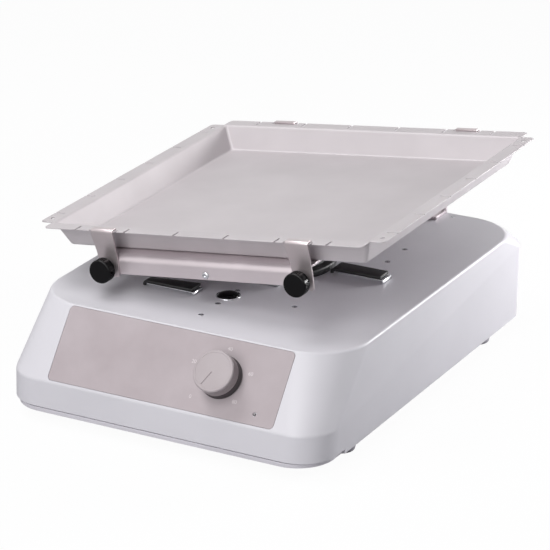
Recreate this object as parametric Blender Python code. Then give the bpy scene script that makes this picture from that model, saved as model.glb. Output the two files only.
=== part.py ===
"""Analogue rocking shaker for the laboratory bench, built piece by piece.

Metres, +Z up. The bench is Z = 0, the control panel faces -Y, and the platform rocks about
a shaft that runs from front to back above the housing. The tray is stored leaning to one side,
so the housing stands a little to the right of the origin, which keeps the whole centred.
Every solid is its own object, and all of them hang on the empty named bench_frame.
Pieces that touch keep the small gap named GAP. Round pieces turn about their own origin or
about the empty that carries them.
"""

import math

import bmesh
import bpy
from mathutils import Matrix, Vector

# Clearances and counts shared by all pieces
GAP = 0.0003
OVERRUN = 0.002
ROUND_STEPS = 32
SMALL_STEPS = 16
CORNER_STEPS = 8
SMOOTH_ANGLE = math.radians(35)

# The housing's middle, off the origin by half of what the leaning tray and the back thumb screws
# reach further out on one side than on the other
MIDDLE_X = 0.0045
MIDDLE_Y = -0.0023

# Housing cover
HOUSING_WIDTH = 0.315
HOUSING_DEPTH = 0.415
HOUSING_HEIGHT = 0.095
FRONT_Y = -0.2147
BACK_Y = FRONT_Y + HOUSING_DEPTH
COVER_WALL = 0.003
COVER_BOTTOM_Z = 0.010
LIP_TOP_Z = 0.014
LIP_LENGTH = 0.048
CREASE_FRONT_SHARE = 0.4000
CREASE_BACK_SHARE = 0.8506
BAND_DRAFT = 0.0008
FRONT_DRAFT = 0.0024
FACE_SETBACK = 0.0467
SIDE_LEAN = 0.0025
BACK_LEAN = 0.0025
FRONT_CORNER_RADIUS = 0.034
BACK_CORNER_RADIUS = 0.020
TOP_CORNER_RADIUS = 0.050
TOP_EDGE_ROUND = 0.002
TOP_EDGE_SHARE = 0.965

# Base plate, feet and bottom slots
PLATE_BOTTOM_Z = 0.0096
FOOT_RADIUS = 0.014
FOOT_TIP_RADIUS = 0.012
FOOT_X = 0.1385
FRONT_FOOT_Y = -0.1387
BACK_FOOT_INSET = 0.0670
FOOT_RECESS_RADIUS = 0.0040
FOOT_RECESS_DEPTH = 0.0040
FOOT_STEM_RADIUS = 0.0045
FOOT_STEM_RISE = 0.0015
SLOT_WIDTH = 0.004
SLOT_LENGTH = 0.040
SLOT_PITCH = 0.012
SLOT_COUNT = 5
SLOT_INSET = 0.0353

# Inner frame that carries the drive
CHASSIS_THICKNESS = 0.003
CHASSIS_HALF_WIDTH = 0.095
CHASSIS_FRONT_Y = -0.141
CHASSIS_BACK_INSET = 0.0063
CHASSIS_CORNER_RADIUS = 0.010
POST_RADIUS = 0.006
POST_X = 0.086
POST_FRONT_Y = -0.122
POST_MIDDLE_Y = -0.015
POST_BACK_INSET = 0.0220

# Round access plug in the top face
PLUG_Y = -0.0875
PLUG_RADIUS = 0.0100
PLUG_HEIGHT = 0.0030
PLUG_STEM_RADIUS = 0.0070
PLUG_STEM_DEPTH = 0.0055
PLUG_RING_WIDTH = 0.0010
PLUG_RING_HEIGHT = 0.0012

# Sloping face: panel, knob, regulator and lamp, measured down the face from its top edge
PANEL_HALF_WIDTH = 0.111
PANEL_TOP = 0.0012
PANEL_FOOT_MARGIN = 0.0022
PANEL_THICKNESS = 0.0010
PANEL_CORNER_RADIUS = 0.004
KNOB_X = 0.051
KNOB_DOWN_SHARE = 0.5160
KNOB_RADIUS = 0.0187
KNOB_SKIRT_RADIUS = 0.0193
KNOB_HEIGHT = 0.0190
KNOB_EDGE = 0.0012
KNOB_RIBS = 30
KNOB_RIB_DEPTH = 0.0005
KNOB_HOLLOW_RADIUS = 0.0120
KNOB_HOLLOW_DEPTH = 0.0060
KNOB_GROOVE_WIDTH = 0.0012
KNOB_GROOVE_DEPTH = 0.0006
KNOB_GROOVE_START = 0.0010
KNOB_BORE_DEPTH = 0.0150
KNOB_REST_ANGLE = math.radians(153)
REGULATOR_RADIUS = 0.0085
REGULATOR_DEPTH = 0.0110
REGULATOR_BUSH_RADIUS = 0.0045
REGULATOR_NUT_RADIUS = 0.0070
REGULATOR_NUT_HEIGHT = 0.0022
REGULATOR_SHAFT_RADIUS = 0.0030
LAMP_X = 0.091
LAMP_DOWN_SHARE = 0.8794
LAMP_RADIUS = 0.0016
LAMP_RISE = 0.0006
LAMP_FLANGE_RADIUS = 0.0024
LAMP_BODY_DEPTH = 0.0050

# Rocking axis and drive
PIVOT_RISE = 0.0332
TILT_LIMIT = math.radians(7)
SHAFT_RADIUS = 0.0050
CRANK_HEIGHT_SHARE = 0.5248
LEVER_Y = 0.0105
LEVER_THICKNESS = 0.0100
LEVER_HUB_RADIUS = 0.0095
LEVER_HALF_WIDTH = 0.0070
FORK_TINE = 0.0055
FORK_PLAY = 0.0022
FORK_LOWER_REACH = 0.0100
FORK_UPPER_REACH = 0.0100
ROLLER_RADIUS = 0.0060
CRANK_PIN_RADIUS = 0.0030
PIN_HEAD_RADIUS = 0.0050
PIN_HEAD_HEIGHT = 0.0015
CRANK_DISC_RADIUS = 0.0160
CRANK_DISC_THICKNESS = 0.0060
CRANK_DISC_CLEARANCE = 0.0010
CRANK_SHAFT_RADIUS = 0.0050
BLOCK_THICKNESS = 0.0100
BLOCK_HALF_WIDTH = 0.0150
BLOCK_CLEARANCE = 0.0015
BEARING_RADIUS = 0.0110
PULLEY_WIDTH = 0.0120
PULLEY_FLANGE = 0.0010
PULLEY_FLANGE_RISE = 0.0024
PULLEY_CLEARANCE = 0.0030
CRANK_PULLEY_SHARE = 0.3614
MOTOR_PULLEY_RADIUS = 0.0090
BELT_THICKNESS = 0.0015
MOTOR_X = 0.0750
MOTOR_Z = 0.0450
MOTOR_SHAFT_RADIUS = 0.0030
GEARBOX_RADIUS = 0.0210
GEARBOX_LENGTH = 0.0220
MOTOR_RADIUS = 0.0175
MOTOR_LENGTH_SHARE = 0.5820
BRACKET_THICKNESS = 0.0030
BRACKET_HALF_WIDTH = 0.0260
BRACKET_FOOT_LENGTH = 0.0280

# Bearing supports above the housing
PEDESTAL_Y = -0.0445
PEDESTAL_THICKNESS = 0.0080
PEDESTAL_TOP_RADIUS = 0.0100
PEDESTAL_HALF_WIDTH = 0.0130
PEDESTAL_FOOT_HALF_WIDTH = 0.0280
PEDESTAL_FOOT_HEIGHT = 0.0060
BUSH_RADIUS = 0.0075
BUSH_FLANGE_RADIUS = 0.0090
BUSH_FLANGE = 0.0010
SUPPORT_INSET = 0.0043
SUPPORT_THICKNESS = 0.0030
SUPPORT_HALF_WIDTH = 0.0770
SUPPORT_STRAIGHT_HEIGHT = 0.0120
SUPPORT_FOOT_LENGTH = 0.0240
SUPPORT_BOSS_LENGTH = 0.0100

# Rubber gaiter where the rocking lever goes through the top
BOOT_RADIUS = 0.0500
BOOT_RIM_HEIGHT = 0.0060
BOOT_EDGE = 0.0015
BOOT_WALL = 0.0016
BOOT_RISE = 0.0180
BOOT_FOOT_RADIUS = 0.0420
BOOT_MOUTH_RADIUS = 0.0150
BOOT_FOLDS = 3
BOOT_FOLD_DEPTH = 0.0035
LEVER_SLOT_HALF_X = 0.0150
LEVER_SLOT_HALF_Y = 0.0080

# Rubber faced leaf strips on the top face: right-hand end of each and its middle line
STRIP_LENGTH = 0.0500
STRIP_WIDTH = 0.0170
PAD_TOP_RISE = 0.0070
PAD_THICKNESS = 0.0028
LEAF_THICKNESS = 0.0010
LEAF_MARGIN = 0.0010
LEAF_OVERHANG = 0.0030
RIGHT_STRIP_END_X = 0.1040
RIGHT_STRIP_Y = 0.0102
LEFT_STRIP_END_X = -0.0280
LEFT_STRIP_Y = -0.0948

# Platform that rocks
TRAY_Y = 0.0375
CARRIER_HALF_WIDTH = 0.102
CARRIER_SETBACK = 0.0050
CARRIER_SHEET = 0.0020
CARRIER_BEND = 0.0030
CARRIER_TOP_RISE = 0.0131
CARRIER_FLANGE_DROP = 0.0042
SADDLE_YS = (-0.0250, 0.1500)
SADDLE_LENGTH = 0.0160
SADDLE_HALF_WIDTH = 0.0140
SADDLE_DROP = 0.0080
END_SCREW_RADIUS = 0.0020
END_SCREW_HEAD_RADIUS = 0.0033
END_SCREW_HEAD_HEIGHT = 0.0012
END_SCREW_DEPTH = 0.0100

# Tray
TRAY_HALF_WIDTH = 0.172
TRAY_HALF_DEPTH = 0.1695
TRAY_RIM_WIDTH = 0.0150
TRAY_RIM_RISE = 0.0366
TRAY_SHEET = 0.0010
TRAY_WALL_LEAN = 0.0090
TRAY_CORNER_RADIUS = 0.0030
TRAY_FLOOR_BEND = 0.0025
TRAY_RIM_CORNER_RADIUS = 0.0040
NOTCH_COUNT = 6
NOTCH_PITCH_X = 0.0500
NOTCH_PITCH_Y = 0.0515
NOTCH_WIDTH = 0.0016
NOTCH_DEPTH = 0.0100
CLIP_NOTCH_DEPTH = 0.0045
CLIP_NOTCH_SPACE = 0.0130
CORNER_NOTCH_LENGTH = 0.0135
CORNER_NOTCH_DEPTH = 0.0155
CORNER_HOLE_RADIUS = 0.0022
CORNER_HOLE_INSET = 0.0070
CORNER_HOLE_SETBACK = 0.0105

# Clips and thumb screws
CLIP_X = 0.0970
CLIP_SHEET = 0.0015
CLIP_TOP_WIDTH = 0.0220
CLIP_FOOT_WIDTH = 0.0196
CLIP_HOOK_LENGTH = 0.0055
CLIP_FOOT_DROP = 0.0065
CLIP_LEAN_START = 0.0120
THUMB_RISE = 0.0028
THUMB_RADIUS = 0.0108
THUMB_RIBS = 24
THUMB_RIB_DEPTH = 0.0005
THUMB_LENGTH = 0.0104
THUMB_COLLAR_LENGTH = 0.0055
THUMB_COLLAR_RADIUS = 0.0062
THUMB_EDGE = 0.0010
THUMB_STEM_RADIUS = 0.0024
THUMB_STEM_REACH = 0.0090
RIVET_NUT_RADIUS = 0.0045
RIVET_NUT_LENGTH = 0.0050

# Electrical pieces inside and on the back wall
BOARD_X = -0.0250
BOARD_Y = -0.1680
BOARD_WIDTH = 0.0900
BOARD_DEPTH = 0.0460
BOARD_THICKNESS = 0.0016
BOARD_Z = 0.0240
STANDOFF_RADIUS = 0.0030
STANDOFF_INSET = 0.0050
CAPACITOR_RADIUS = 0.0080
CAPACITOR_HEIGHT = 0.0180
CAPACITOR_SHARES = (0.25, 0.50, 0.75)
TRANSFORMER_X = -0.0500
TRANSFORMER_INSET = 0.0803
TRANSFORMER_WIDTH = 0.0560
TRANSFORMER_DEPTH = 0.0460
TRANSFORMER_HEIGHT = 0.0440
TRANSFORMER_FOOT = 0.0025
COIL_MARGIN = 0.0080
BACK_DEVICE_Z = 0.0400
INLET_X = -0.0500
INLET_FLANGE_WIDTH = 0.0340
INLET_FLANGE_HEIGHT = 0.0260
INLET_FLANGE = 0.0025
INLET_BODY_WIDTH = 0.0270
INLET_BODY_HEIGHT = 0.0195
INLET_DEPTH = 0.0200
INLET_SOCKET_WIDTH = 0.0236
INLET_SOCKET_HEIGHT = 0.0160
INLET_SOCKET_DEPTH = 0.0165
INLET_PIN_PITCH = 0.0070
INLET_PIN_WIDTH = 0.0020
INLET_PIN_HEIGHT = 0.0040
INLET_PIN_LENGTH = 0.0120
SWITCH_X = 0.0000
SWITCH_FLANGE_WIDTH = 0.0190
SWITCH_FLANGE_HEIGHT = 0.0260
SWITCH_FLANGE = 0.0018
SWITCH_BODY_WIDTH = 0.0150
SWITCH_BODY_HEIGHT = 0.0215
SWITCH_DEPTH = 0.0160
SWITCH_POCKET_WIDTH = 0.0116
SWITCH_POCKET_HEIGHT = 0.0182
SWITCH_POCKET_DEPTH = 0.0090
PADDLE_SWING = math.radians(8)
PADDLE_CLEARANCE = 0.0004
PADDLE_PIVOT_DEPTH = 0.0040
PADDLE_HALF_HEIGHT = 0.0080
PADDLE_FACE = 0.0034
PADDLE_CROWN = 0.0050
PADDLE_BACK = 0.0028
FUSE_X = 0.0400
FUSE_BODY_RADIUS = 0.0062
FUSE_BODY_DEPTH = 0.0280
FUSE_CAP_RADIUS = 0.0085
FUSE_CAP_LENGTH = 0.0050

# Places worked out from the sizes above
HALF_WIDTH = HOUSING_WIDTH / 2
BACK_FOOT_Y = BACK_Y - BACK_FOOT_INSET
SLOT_Y = BACK_Y - SLOT_INSET
CHASSIS_BACK_Y = BACK_Y - CHASSIS_BACK_INSET
POST_YS = (POST_FRONT_Y, POST_MIDDLE_Y, CHASSIS_BACK_Y - POST_BACK_INSET)
SUPPORT_FACE_Y = BACK_Y - SUPPORT_INSET
TRANSFORMER_Y = BACK_Y - TRANSFORMER_INSET
CREASE_START_Y = FRONT_Y + FRONT_CORNER_RADIUS
TOP_FRONT_Y = FRONT_Y + FACE_SETBACK
CEILING_Z = HOUSING_HEIGHT - COVER_WALL
CHASSIS_TOP_Z = CEILING_Z - GAP
CHASSIS_BOTTOM_Z = CHASSIS_TOP_Z - CHASSIS_THICKNESS
PLATE_TOP_Z = LIP_TOP_Z - GAP
FLOOR_Z = PLATE_TOP_Z + GAP
TOP_Z = HOUSING_HEIGHT + GAP
CREASE_FRONT_Z = HOUSING_HEIGHT * CREASE_FRONT_SHARE
CREASE_SLOPE = HOUSING_HEIGHT * (CREASE_BACK_SHARE - CREASE_FRONT_SHARE) / (BACK_Y - CREASE_START_Y)
FACE_RUN = FACE_SETBACK - FRONT_DRAFT
FACE_RISE = HOUSING_HEIGHT - CREASE_FRONT_Z
FACE_ANGLE = math.atan2(FACE_RISE, FACE_RUN)
PANEL_LENGTH = math.hypot(FACE_RUN, FACE_RISE) - PANEL_TOP - PANEL_FOOT_MARGIN
KNOB_DOWN = PANEL_LENGTH * KNOB_DOWN_SHARE
LAMP_DOWN = PANEL_LENGTH * LAMP_DOWN_SHARE
INNER_HEIGHT = CHASSIS_BOTTOM_Z - FLOOR_Z
PIVOT_Z = HOUSING_HEIGHT + PIVOT_RISE
CRANK_Z = FLOOR_Z + INNER_HEIGHT * CRANK_HEIGHT_SHARE
CRANK_DROP = PIVOT_Z - CRANK_Z
CRANK_THROW = CRANK_DROP * math.sin(TILT_LIMIT)
CRANK_PULLEY_RADIUS = INNER_HEIGHT * CRANK_PULLEY_SHARE
BOOT_TOP_Z = HOUSING_HEIGHT + BOOT_RISE
CARRIER_HALF_DEPTH = TRAY_HALF_DEPTH - CARRIER_SETBACK
LEVER_FRONT_Y = LEVER_Y - LEVER_THICKNESS / 2
LEVER_BACK_Y = LEVER_Y + LEVER_THICKNESS / 2
DISC_FRONT_Y = LEVER_BACK_Y + CRANK_DISC_CLEARANCE
DISC_BACK_Y = DISC_FRONT_Y + CRANK_DISC_THICKNESS
FRONT_BLOCK_Y = DISC_BACK_Y + BLOCK_CLEARANCE
PULLEY_FRONT_Y = FRONT_BLOCK_Y + BLOCK_THICKNESS + PULLEY_CLEARANCE
PULLEY_BACK_Y = PULLEY_FRONT_Y + PULLEY_WIDTH
BACK_BLOCK_Y = PULLEY_BACK_Y + PULLEY_CLEARANCE
CRANK_SHAFT_END_Y = BACK_BLOCK_Y + BLOCK_THICKNESS + BLOCK_CLEARANCE
BRACKET_FRONT_Y = PULLEY_BACK_Y + PULLEY_CLEARANCE
MOTOR_FRONT_Y = BRACKET_FRONT_Y + BRACKET_THICKNESS + GAP
GEARBOX_END_Y = MOTOR_FRONT_Y + GEARBOX_LENGTH
MOTOR_LENGTH = (BACK_Y - COVER_WALL - GEARBOX_END_Y) * MOTOR_LENGTH_SHARE
CARRIER_FRONT_Y = TRAY_Y - CARRIER_HALF_DEPTH
CARRIER_BACK_Y = TRAY_Y + CARRIER_HALF_DEPTH
CARRIER_UNDERSIDE = CARRIER_TOP_RISE - CARRIER_SHEET
TRAY_UNDERSIDE = CARRIER_TOP_RISE + GAP
TRAY_FLOOR_HALF_WIDTH = TRAY_HALF_WIDTH - TRAY_RIM_WIDTH - TRAY_WALL_LEAN
TRAY_FLOOR_HALF_DEPTH = TRAY_HALF_DEPTH - TRAY_RIM_WIDTH - TRAY_WALL_LEAN


def clear_scene():
    """Remove every object that the file opened with."""
    for item in list(bpy.data.objects):
        bpy.data.objects.remove(item, do_unlink=True)


def srgb(code):
    """Turn a hex colour as seen in the photo into linear values for a shader."""
    channels = [int(code[k:k + 2], 16) / 255 for k in (1, 3, 5)]
    linear = [c / 12.92 if c <= 0.04045 else ((c + 0.055) / 1.055) ** 2.4 for c in channels]
    return (*linear, 1.0)


def material(name, code, metallic, roughness):
    """Make one Principled material."""
    made = bpy.data.materials.new(name)
    made.use_nodes = True
    shader = made.node_tree.nodes["Principled BSDF"]
    shader.inputs["Base Color"].default_value = srgb(code)
    shader.inputs["Metallic"].default_value = metallic
    shader.inputs["Roughness"].default_value = roughness
    made.diffuse_color = srgb(code)
    return made


def make_materials():
    """All finishes, by the name that the pieces ask for."""
    table = (
        ("housing_plastic", "#d6d4da", 0.0, 0.38),
        ("panel_film", "#bdb3b7", 0.0, 0.42),
        ("knob_plastic", "#beb5b8", 0.0, 0.40),
        ("carrier_paint", "#b9aeb2", 0.3, 0.40),
        ("clip_steel", "#a1989a", 0.7, 0.40),
        ("tray_steel", "#d9d2d6", 0.8, 0.32),
        ("black_rubber", "#141214", 0.0, 0.60),
        ("black_plastic", "#17151a", 0.0, 0.35),
        ("bright_steel", "#c9c9cd", 1.0, 0.22),
        ("grey_steel", "#8d9096", 0.9, 0.38),
        ("cast_aluminium", "#a9abae", 0.9, 0.45),
        ("brass", "#b8934a", 0.9, 0.30),
        ("board_green", "#2f5d3f", 0.0, 0.50),
        ("copper_wire", "#a3592f", 0.8, 0.40),
        ("lamp_lens", "#7f8a84", 0.0, 0.20),
        ("belt_rubber", "#1c1b1d", 0.0, 0.70),
    )
    return {name: material(name, code, metal, rough) for name, code, metal, rough in table}


def empty(name, location, rotation=(0, 0, 0), parent=None):
    """A place that carries pieces, such as a joint's axis."""
    carrier = parent or bpy.data.objects.get("bench_frame")
    made = bpy.data.objects.new(name, None)
    bpy.context.scene.collection.objects.link(made)
    made.location = location
    made.rotation_euler = rotation
    made.parent = carrier
    return made


def finish(name, bm, finish_name, location=(0, 0, 0), rotation=(0, 0, 0), parent=None, smooth=True):
    """Turn a bmesh into a named object with its material."""
    bmesh.ops.recalc_face_normals(bm, faces=bm.faces)
    mesh = bpy.data.meshes.new(name)
    bm.to_mesh(mesh)
    bm.free()
    if smooth:
        mesh.shade_smooth()
        mesh.set_sharp_from_angle(angle=SMOOTH_ANGLE)
    made = bpy.data.objects.new(name, mesh)
    bpy.context.scene.collection.objects.link(made)
    made.location = location
    made.rotation_euler = rotation
    made.parent = parent or bpy.data.objects["bench_frame"]
    if finish_name:
        mesh.materials.append(MATERIALS[finish_name])
    return made


def helper(name, bm, parent=None):
    """A solid that only cuts or joins others, so it is never a piece of its own."""
    made = finish(name, bm, None, parent=parent, smooth=False)
    made.hide_render = True
    made.display_type = "WIRE"
    return made


def combine(target, tool, operation="DIFFERENCE"):
    """Cut a helper out of a piece, or join it on."""
    step = target.modifiers.new(tool.name, "BOOLEAN")
    step.operation = operation
    step.solver = "EXACT"
    step.use_self = True
    step.object = tool


def add_box(bm, low, high):
    """A box between two corners."""
    size = [b - a for a, b in zip(low, high)]
    middle = [(a + b) / 2 for a, b in zip(low, high)]
    matrix = Matrix.Translation(middle) @ Matrix.Diagonal((*size, 1.0))
    return bmesh.ops.create_cube(bm, size=1.0, matrix=matrix)["verts"]


def add_rod(bm, radius, start, end, steps=ROUND_STEPS, end_radius=None):
    """A round bar or cone between two points."""
    start = Vector(start)
    span = Vector(end) - start
    turn = span.to_track_quat("Z", "Y").to_matrix().to_4x4()
    bmesh.ops.create_cone(
        bm,
        cap_ends=True,
        segments=steps,
        radius1=radius,
        radius2=radius if end_radius is None else end_radius,
        depth=span.length,
        matrix=Matrix.Translation(start + span / 2) @ turn,
    )


def add_rings(bm, rings, caps=True):
    """Skin a list of point rings, each with the same count, and cap both ends."""
    made = [[bm.verts.new(point) for point in ring] for ring in rings]
    for lower, upper in zip(made, made[1:]):
        for k in range(len(lower)):
            n = (k + 1) % len(lower)
            bm.faces.new((lower[k], lower[n], upper[n], upper[k]))
    if caps:
        bm.faces.new(list(reversed(made[0])))
        bm.faces.new(made[-1])
    return made


def add_loop(bm, rings):
    """Skin point rings into a closed loop, as for a hollow round piece."""
    made = add_rings(bm, rings, caps=False)
    for k in range(len(made[0])):
        n = (k + 1) % len(made[0])
        bm.faces.new((made[-1][k], made[-1][n], made[0][n], made[0][k]))


def circle(radius, height, steps=ROUND_STEPS, centre=(0, 0)):
    """One ring of points about the Z axis."""
    turns = [2 * math.pi * k / steps for k in range(steps)]
    return [(centre[0] + radius * math.cos(t), centre[1] + radius * math.sin(t), height) for t in turns]


def add_turned(bm, profile, steps=ROUND_STEPS, hollow=False):
    """A turned piece about Z from (radius, height) pairs; hollow ones close on themselves."""
    rings = [circle(radius, height, steps) for radius, height in profile]
    if hollow:
        add_loop(bm, rings)
    else:
        add_rings(bm, rings)


def along_y(ring, z=0.0, x=0.0):
    """Turn a ring about Z into one about a line along Y."""
    return [(u + x, height, v + z) for u, v, height in ring]


def add_prism(bm, outline, direction, place):
    """Extrude a flat outline along an axis; place turns (u, v, depth) into a point."""
    low, high = direction
    add_rings(bm, [[place(u, v, low) for u, v in outline], [place(u, v, high) for u, v in outline]])


def upright(u, v, depth):
    """Outline in X and Z, extruded along Y."""
    return (u, depth, v)


def sideways(u, v, depth):
    """Outline in Y and Z, extruded along X."""
    return (depth, u, v)


def level(u, v, depth):
    """Outline in X and Y, extruded along Z."""
    return (u, v, depth)


def rounded_outline(half_width, front_y, back_y, front_radius, back_radius, steps=CORNER_STEPS):
    """A rectangle with rounded corners, anticlockwise from its front right corner."""
    corners = (
        (half_width - front_radius, front_y + front_radius, front_radius, -90),
        (half_width - back_radius, back_y - back_radius, back_radius, 0),
        (back_radius - half_width, back_y - back_radius, back_radius, 90),
        (front_radius - half_width, front_y + front_radius, front_radius, 180),
    )
    points = []
    for x, y, radius, start in corners:
        for k in range(steps + 1):
            turn = math.radians(start + 90 * k / steps)
            points.append((x + radius * math.cos(turn), y + radius * math.sin(turn)))
    return points


def centred_outline(half_width, half_height, radius, steps=4):
    """A rounded rectangle about the origin."""
    return rounded_outline(half_width, -half_height, half_height, radius, radius, steps)


def ribbed_circle(radius, height, ribs, depth):
    """A ring of points with fine ribs, for knurled grips."""
    points = []
    for k in range(ribs * 2):
        reach = radius if k % 2 == 0 else radius - depth
        turn = math.pi * k / ribs
        points.append((reach * math.cos(turn), reach * math.sin(turn), height))
    return points


def crease_height(y):
    """The side crease rises from the front corner towards the back."""
    return CREASE_FRONT_Z + max(0.0, y - CREASE_START_Y) * CREASE_SLOPE


def housing_rings(inset):
    """Bottom, crease and top rings of the cover, moved inwards by the wall for the inside."""
    slope_shift = inset / math.sin(FACE_ANGLE)
    crease_drop = (slope_shift - inset) * math.tan(FACE_ANGLE)
    bottom = rounded_outline(
        HALF_WIDTH - BAND_DRAFT - inset,
        FRONT_Y + inset,
        BACK_Y - BAND_DRAFT - inset,
        FRONT_CORNER_RADIUS - inset,
        BACK_CORNER_RADIUS - inset,
    )
    crease = rounded_outline(
        HALF_WIDTH - inset,
        FRONT_Y + FRONT_DRAFT + inset,
        BACK_Y - inset,
        FRONT_CORNER_RADIUS - inset,
        BACK_CORNER_RADIUS - inset,
    )
    top_z = HOUSING_HEIGHT - inset
    top_front = TOP_FRONT_Y - inset / math.tan(FACE_ANGLE) + slope_shift
    top = rounded_outline(
        HALF_WIDTH - SIDE_LEAN - inset,
        top_front,
        BACK_Y - BACK_LEAN - inset,
        TOP_CORNER_RADIUS - inset,
        TOP_CORNER_RADIUS - inset,
    )
    return (
        [(x, y, COVER_BOTTOM_Z) for x, y in bottom],
        [(x, y, crease_height(y) - crease_drop) for x, y in crease],
        [(x, y, top_z) for x, y in top],
    )


def between(ring_a, ring_b, share):
    """A ring part of the way from one ring to another."""
    return [tuple(a + (b - a) * share for a, b in zip(p, q)) for p, q in zip(ring_a, ring_b)]


def make_cover():
    """The moulded housing shell with its sloping front, and every hole through it."""
    bm = bmesh.new()
    bottom, crease, top = housing_rings(0.0)
    edge = between(crease, top, TOP_EDGE_SHARE)
    crown = [
        (x, y, HOUSING_HEIGHT)
        for x, y in rounded_outline(
            HALF_WIDTH - SIDE_LEAN - TOP_EDGE_ROUND,
            TOP_FRONT_Y + TOP_EDGE_ROUND,
            BACK_Y - BACK_LEAN - TOP_EDGE_ROUND,
            TOP_CORNER_RADIUS - TOP_EDGE_ROUND,
            TOP_CORNER_RADIUS - TOP_EDGE_ROUND,
        )
    ]
    outer = add_rings(bm, [bottom, crease, edge, crown], caps=False)
    inner = add_rings(bm, list(housing_rings(COVER_WALL)), caps=False)
    bm.faces.new(outer[-1])
    bm.faces.new(list(reversed(inner[-1])))
    for k in range(len(bottom)):
        n = (k + 1) % len(bottom)
        bm.faces.new((outer[0][n], outer[0][k], inner[0][k], inner[0][n]))
    cover = finish("housing_cover", bm, "housing_plastic")
    combine(cover, cover_cutter())
    combine(cover, face_cutter())
    return cover


def cover_cutter():
    """Holes through the top and back of the cover, and the step above the front lip."""
    bm = bmesh.new()
    low = CEILING_Z - OVERRUN
    high = HOUSING_HEIGHT + OVERRUN
    add_rod(bm, PLUG_STEM_RADIUS + GAP, (0, PLUG_Y, low), (0, PLUG_Y, high))
    add_box(
        bm,
        (-LEVER_SLOT_HALF_X, LEVER_Y - LEVER_SLOT_HALF_Y, low),
        (LEVER_SLOT_HALF_X, LEVER_Y + LEVER_SLOT_HALF_Y, high),
    )
    inner_y = BACK_Y - COVER_WALL - OVERRUN
    outer_y = BACK_Y + OVERRUN
    for x, width, height in (
        (INLET_X, INLET_BODY_WIDTH, INLET_BODY_HEIGHT),
        (SWITCH_X, SWITCH_BODY_WIDTH, SWITCH_BODY_HEIGHT),
    ):
        add_box(
            bm,
            (x - width / 2 - GAP, inner_y, BACK_DEVICE_Z - height / 2 - GAP),
            (x + width / 2 + GAP, outer_y, BACK_DEVICE_Z + height / 2 + GAP),
        )
    add_rod(bm, FUSE_BODY_RADIUS + GAP, (FUSE_X, inner_y, BACK_DEVICE_Z), (FUSE_X, outer_y, BACK_DEVICE_Z))
    add_box(
        bm,
        (-HALF_WIDTH - OVERRUN, FRONT_Y - OVERRUN, COVER_BOTTOM_Z - OVERRUN),
        (HALF_WIDTH + OVERRUN, FRONT_Y + LIP_LENGTH, LIP_TOP_Z),
    )
    return helper("cover_cutter", bm)


def face_cutter():
    """The shallow pocket for the panel, and the holes behind the knob and the lamp."""
    bm = bmesh.new()
    outline = [
        (x, y - PANEL_TOP - PANEL_LENGTH / 2)
        for x, y in centred_outline(
            PANEL_HALF_WIDTH + GAP, PANEL_LENGTH / 2 + GAP, PANEL_CORNER_RADIUS + GAP
        )
    ]
    add_prism(bm, outline, (-PANEL_THICKNESS - GAP, OVERRUN), level)
    deep = -COVER_WALL - OVERRUN
    shallow = GAP - PANEL_THICKNESS
    for x, down, radius in (
        (KNOB_X, KNOB_DOWN, REGULATOR_BUSH_RADIUS + GAP),
        (LAMP_X, LAMP_DOWN, LAMP_RADIUS + GAP),
    ):
        add_rod(bm, radius, (x, -down, deep), (x, -down, shallow), SMALL_STEPS)
    return helper("face_cutter", bm, parent=PLACES["sloping_face"])


def make_base():
    """The base plate with its front lip, the four feet and their screws."""
    outer = rounded_outline(
        HALF_WIDTH - BAND_DRAFT, FRONT_Y, BACK_Y - BAND_DRAFT, FRONT_CORNER_RADIUS, BACK_CORNER_RADIUS
    )
    inset = COVER_WALL + GAP
    inner = rounded_outline(
        HALF_WIDTH - BAND_DRAFT - inset,
        FRONT_Y + inset,
        BACK_Y - BAND_DRAFT - inset,
        FRONT_CORNER_RADIUS - inset,
        BACK_CORNER_RADIUS - inset,
    )
    step_y = FRONT_Y + LIP_LENGTH - GAP
    lip_x = HALF_WIDTH - BAND_DRAFT
    quarter = CORNER_STEPS + 1
    outline = outer[:quarter]
    outline += [(lip_x, step_y), (lip_x - inset, step_y)]
    outline += inner[quarter:3 * quarter]
    outline += [(inset - lip_x, step_y), (-lip_x, step_y)]
    outline += outer[3 * quarter:]
    bm = bmesh.new()
    add_prism(bm, outline, (PLATE_BOTTOM_Z, PLATE_TOP_Z), level)
    plate = finish("base_plate", bm, "cast_aluminium", smooth=False)
    bm = bmesh.new()
    low = PLATE_BOTTOM_Z - OVERRUN
    high = PLATE_TOP_Z + OVERRUN
    for x, y in foot_places():
        add_rod(bm, FOOT_STEM_RADIUS + GAP, (x, y, low), (x, y, high), SMALL_STEPS)
    for k in range(SLOT_COUNT):
        x = (k - (SLOT_COUNT - 1) / 2) * SLOT_PITCH
        add_box(bm, (x - SLOT_WIDTH / 2, SLOT_Y - SLOT_LENGTH / 2, low), (x + SLOT_WIDTH / 2, SLOT_Y, high))
    combine(plate, helper("plate_cutter", bm))
    bm = bmesh.new()
    for x, y in board_corners():
        add_rod(bm, STANDOFF_RADIUS, (x, y, PLATE_BOTTOM_Z + GAP), (x, y, BOARD_Z - GAP), SMALL_STEPS)
    combine(plate, helper("board_bosses", bm), "UNION")
    for name, (x, y) in zip(("front_left", "front_right", "back_left", "back_right"), foot_places()):
        make_foot(f"foot_{name}", x, y)


def board_corners():
    """Where the control board stands on the base plate."""
    reach_x = BOARD_WIDTH / 2 - STANDOFF_INSET
    reach_y = BOARD_DEPTH / 2 - STANDOFF_INSET
    return [(BOARD_X + h * reach_x, BOARD_Y + v * reach_y) for h in (-1, 1) for v in (-1, 1)]


def foot_places():
    """Front pair, then back pair, left before right."""
    return [(side * FOOT_X, y) for y in (FRONT_FOOT_Y, BACK_FOOT_Y) for side in (-1, 1)]


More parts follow.
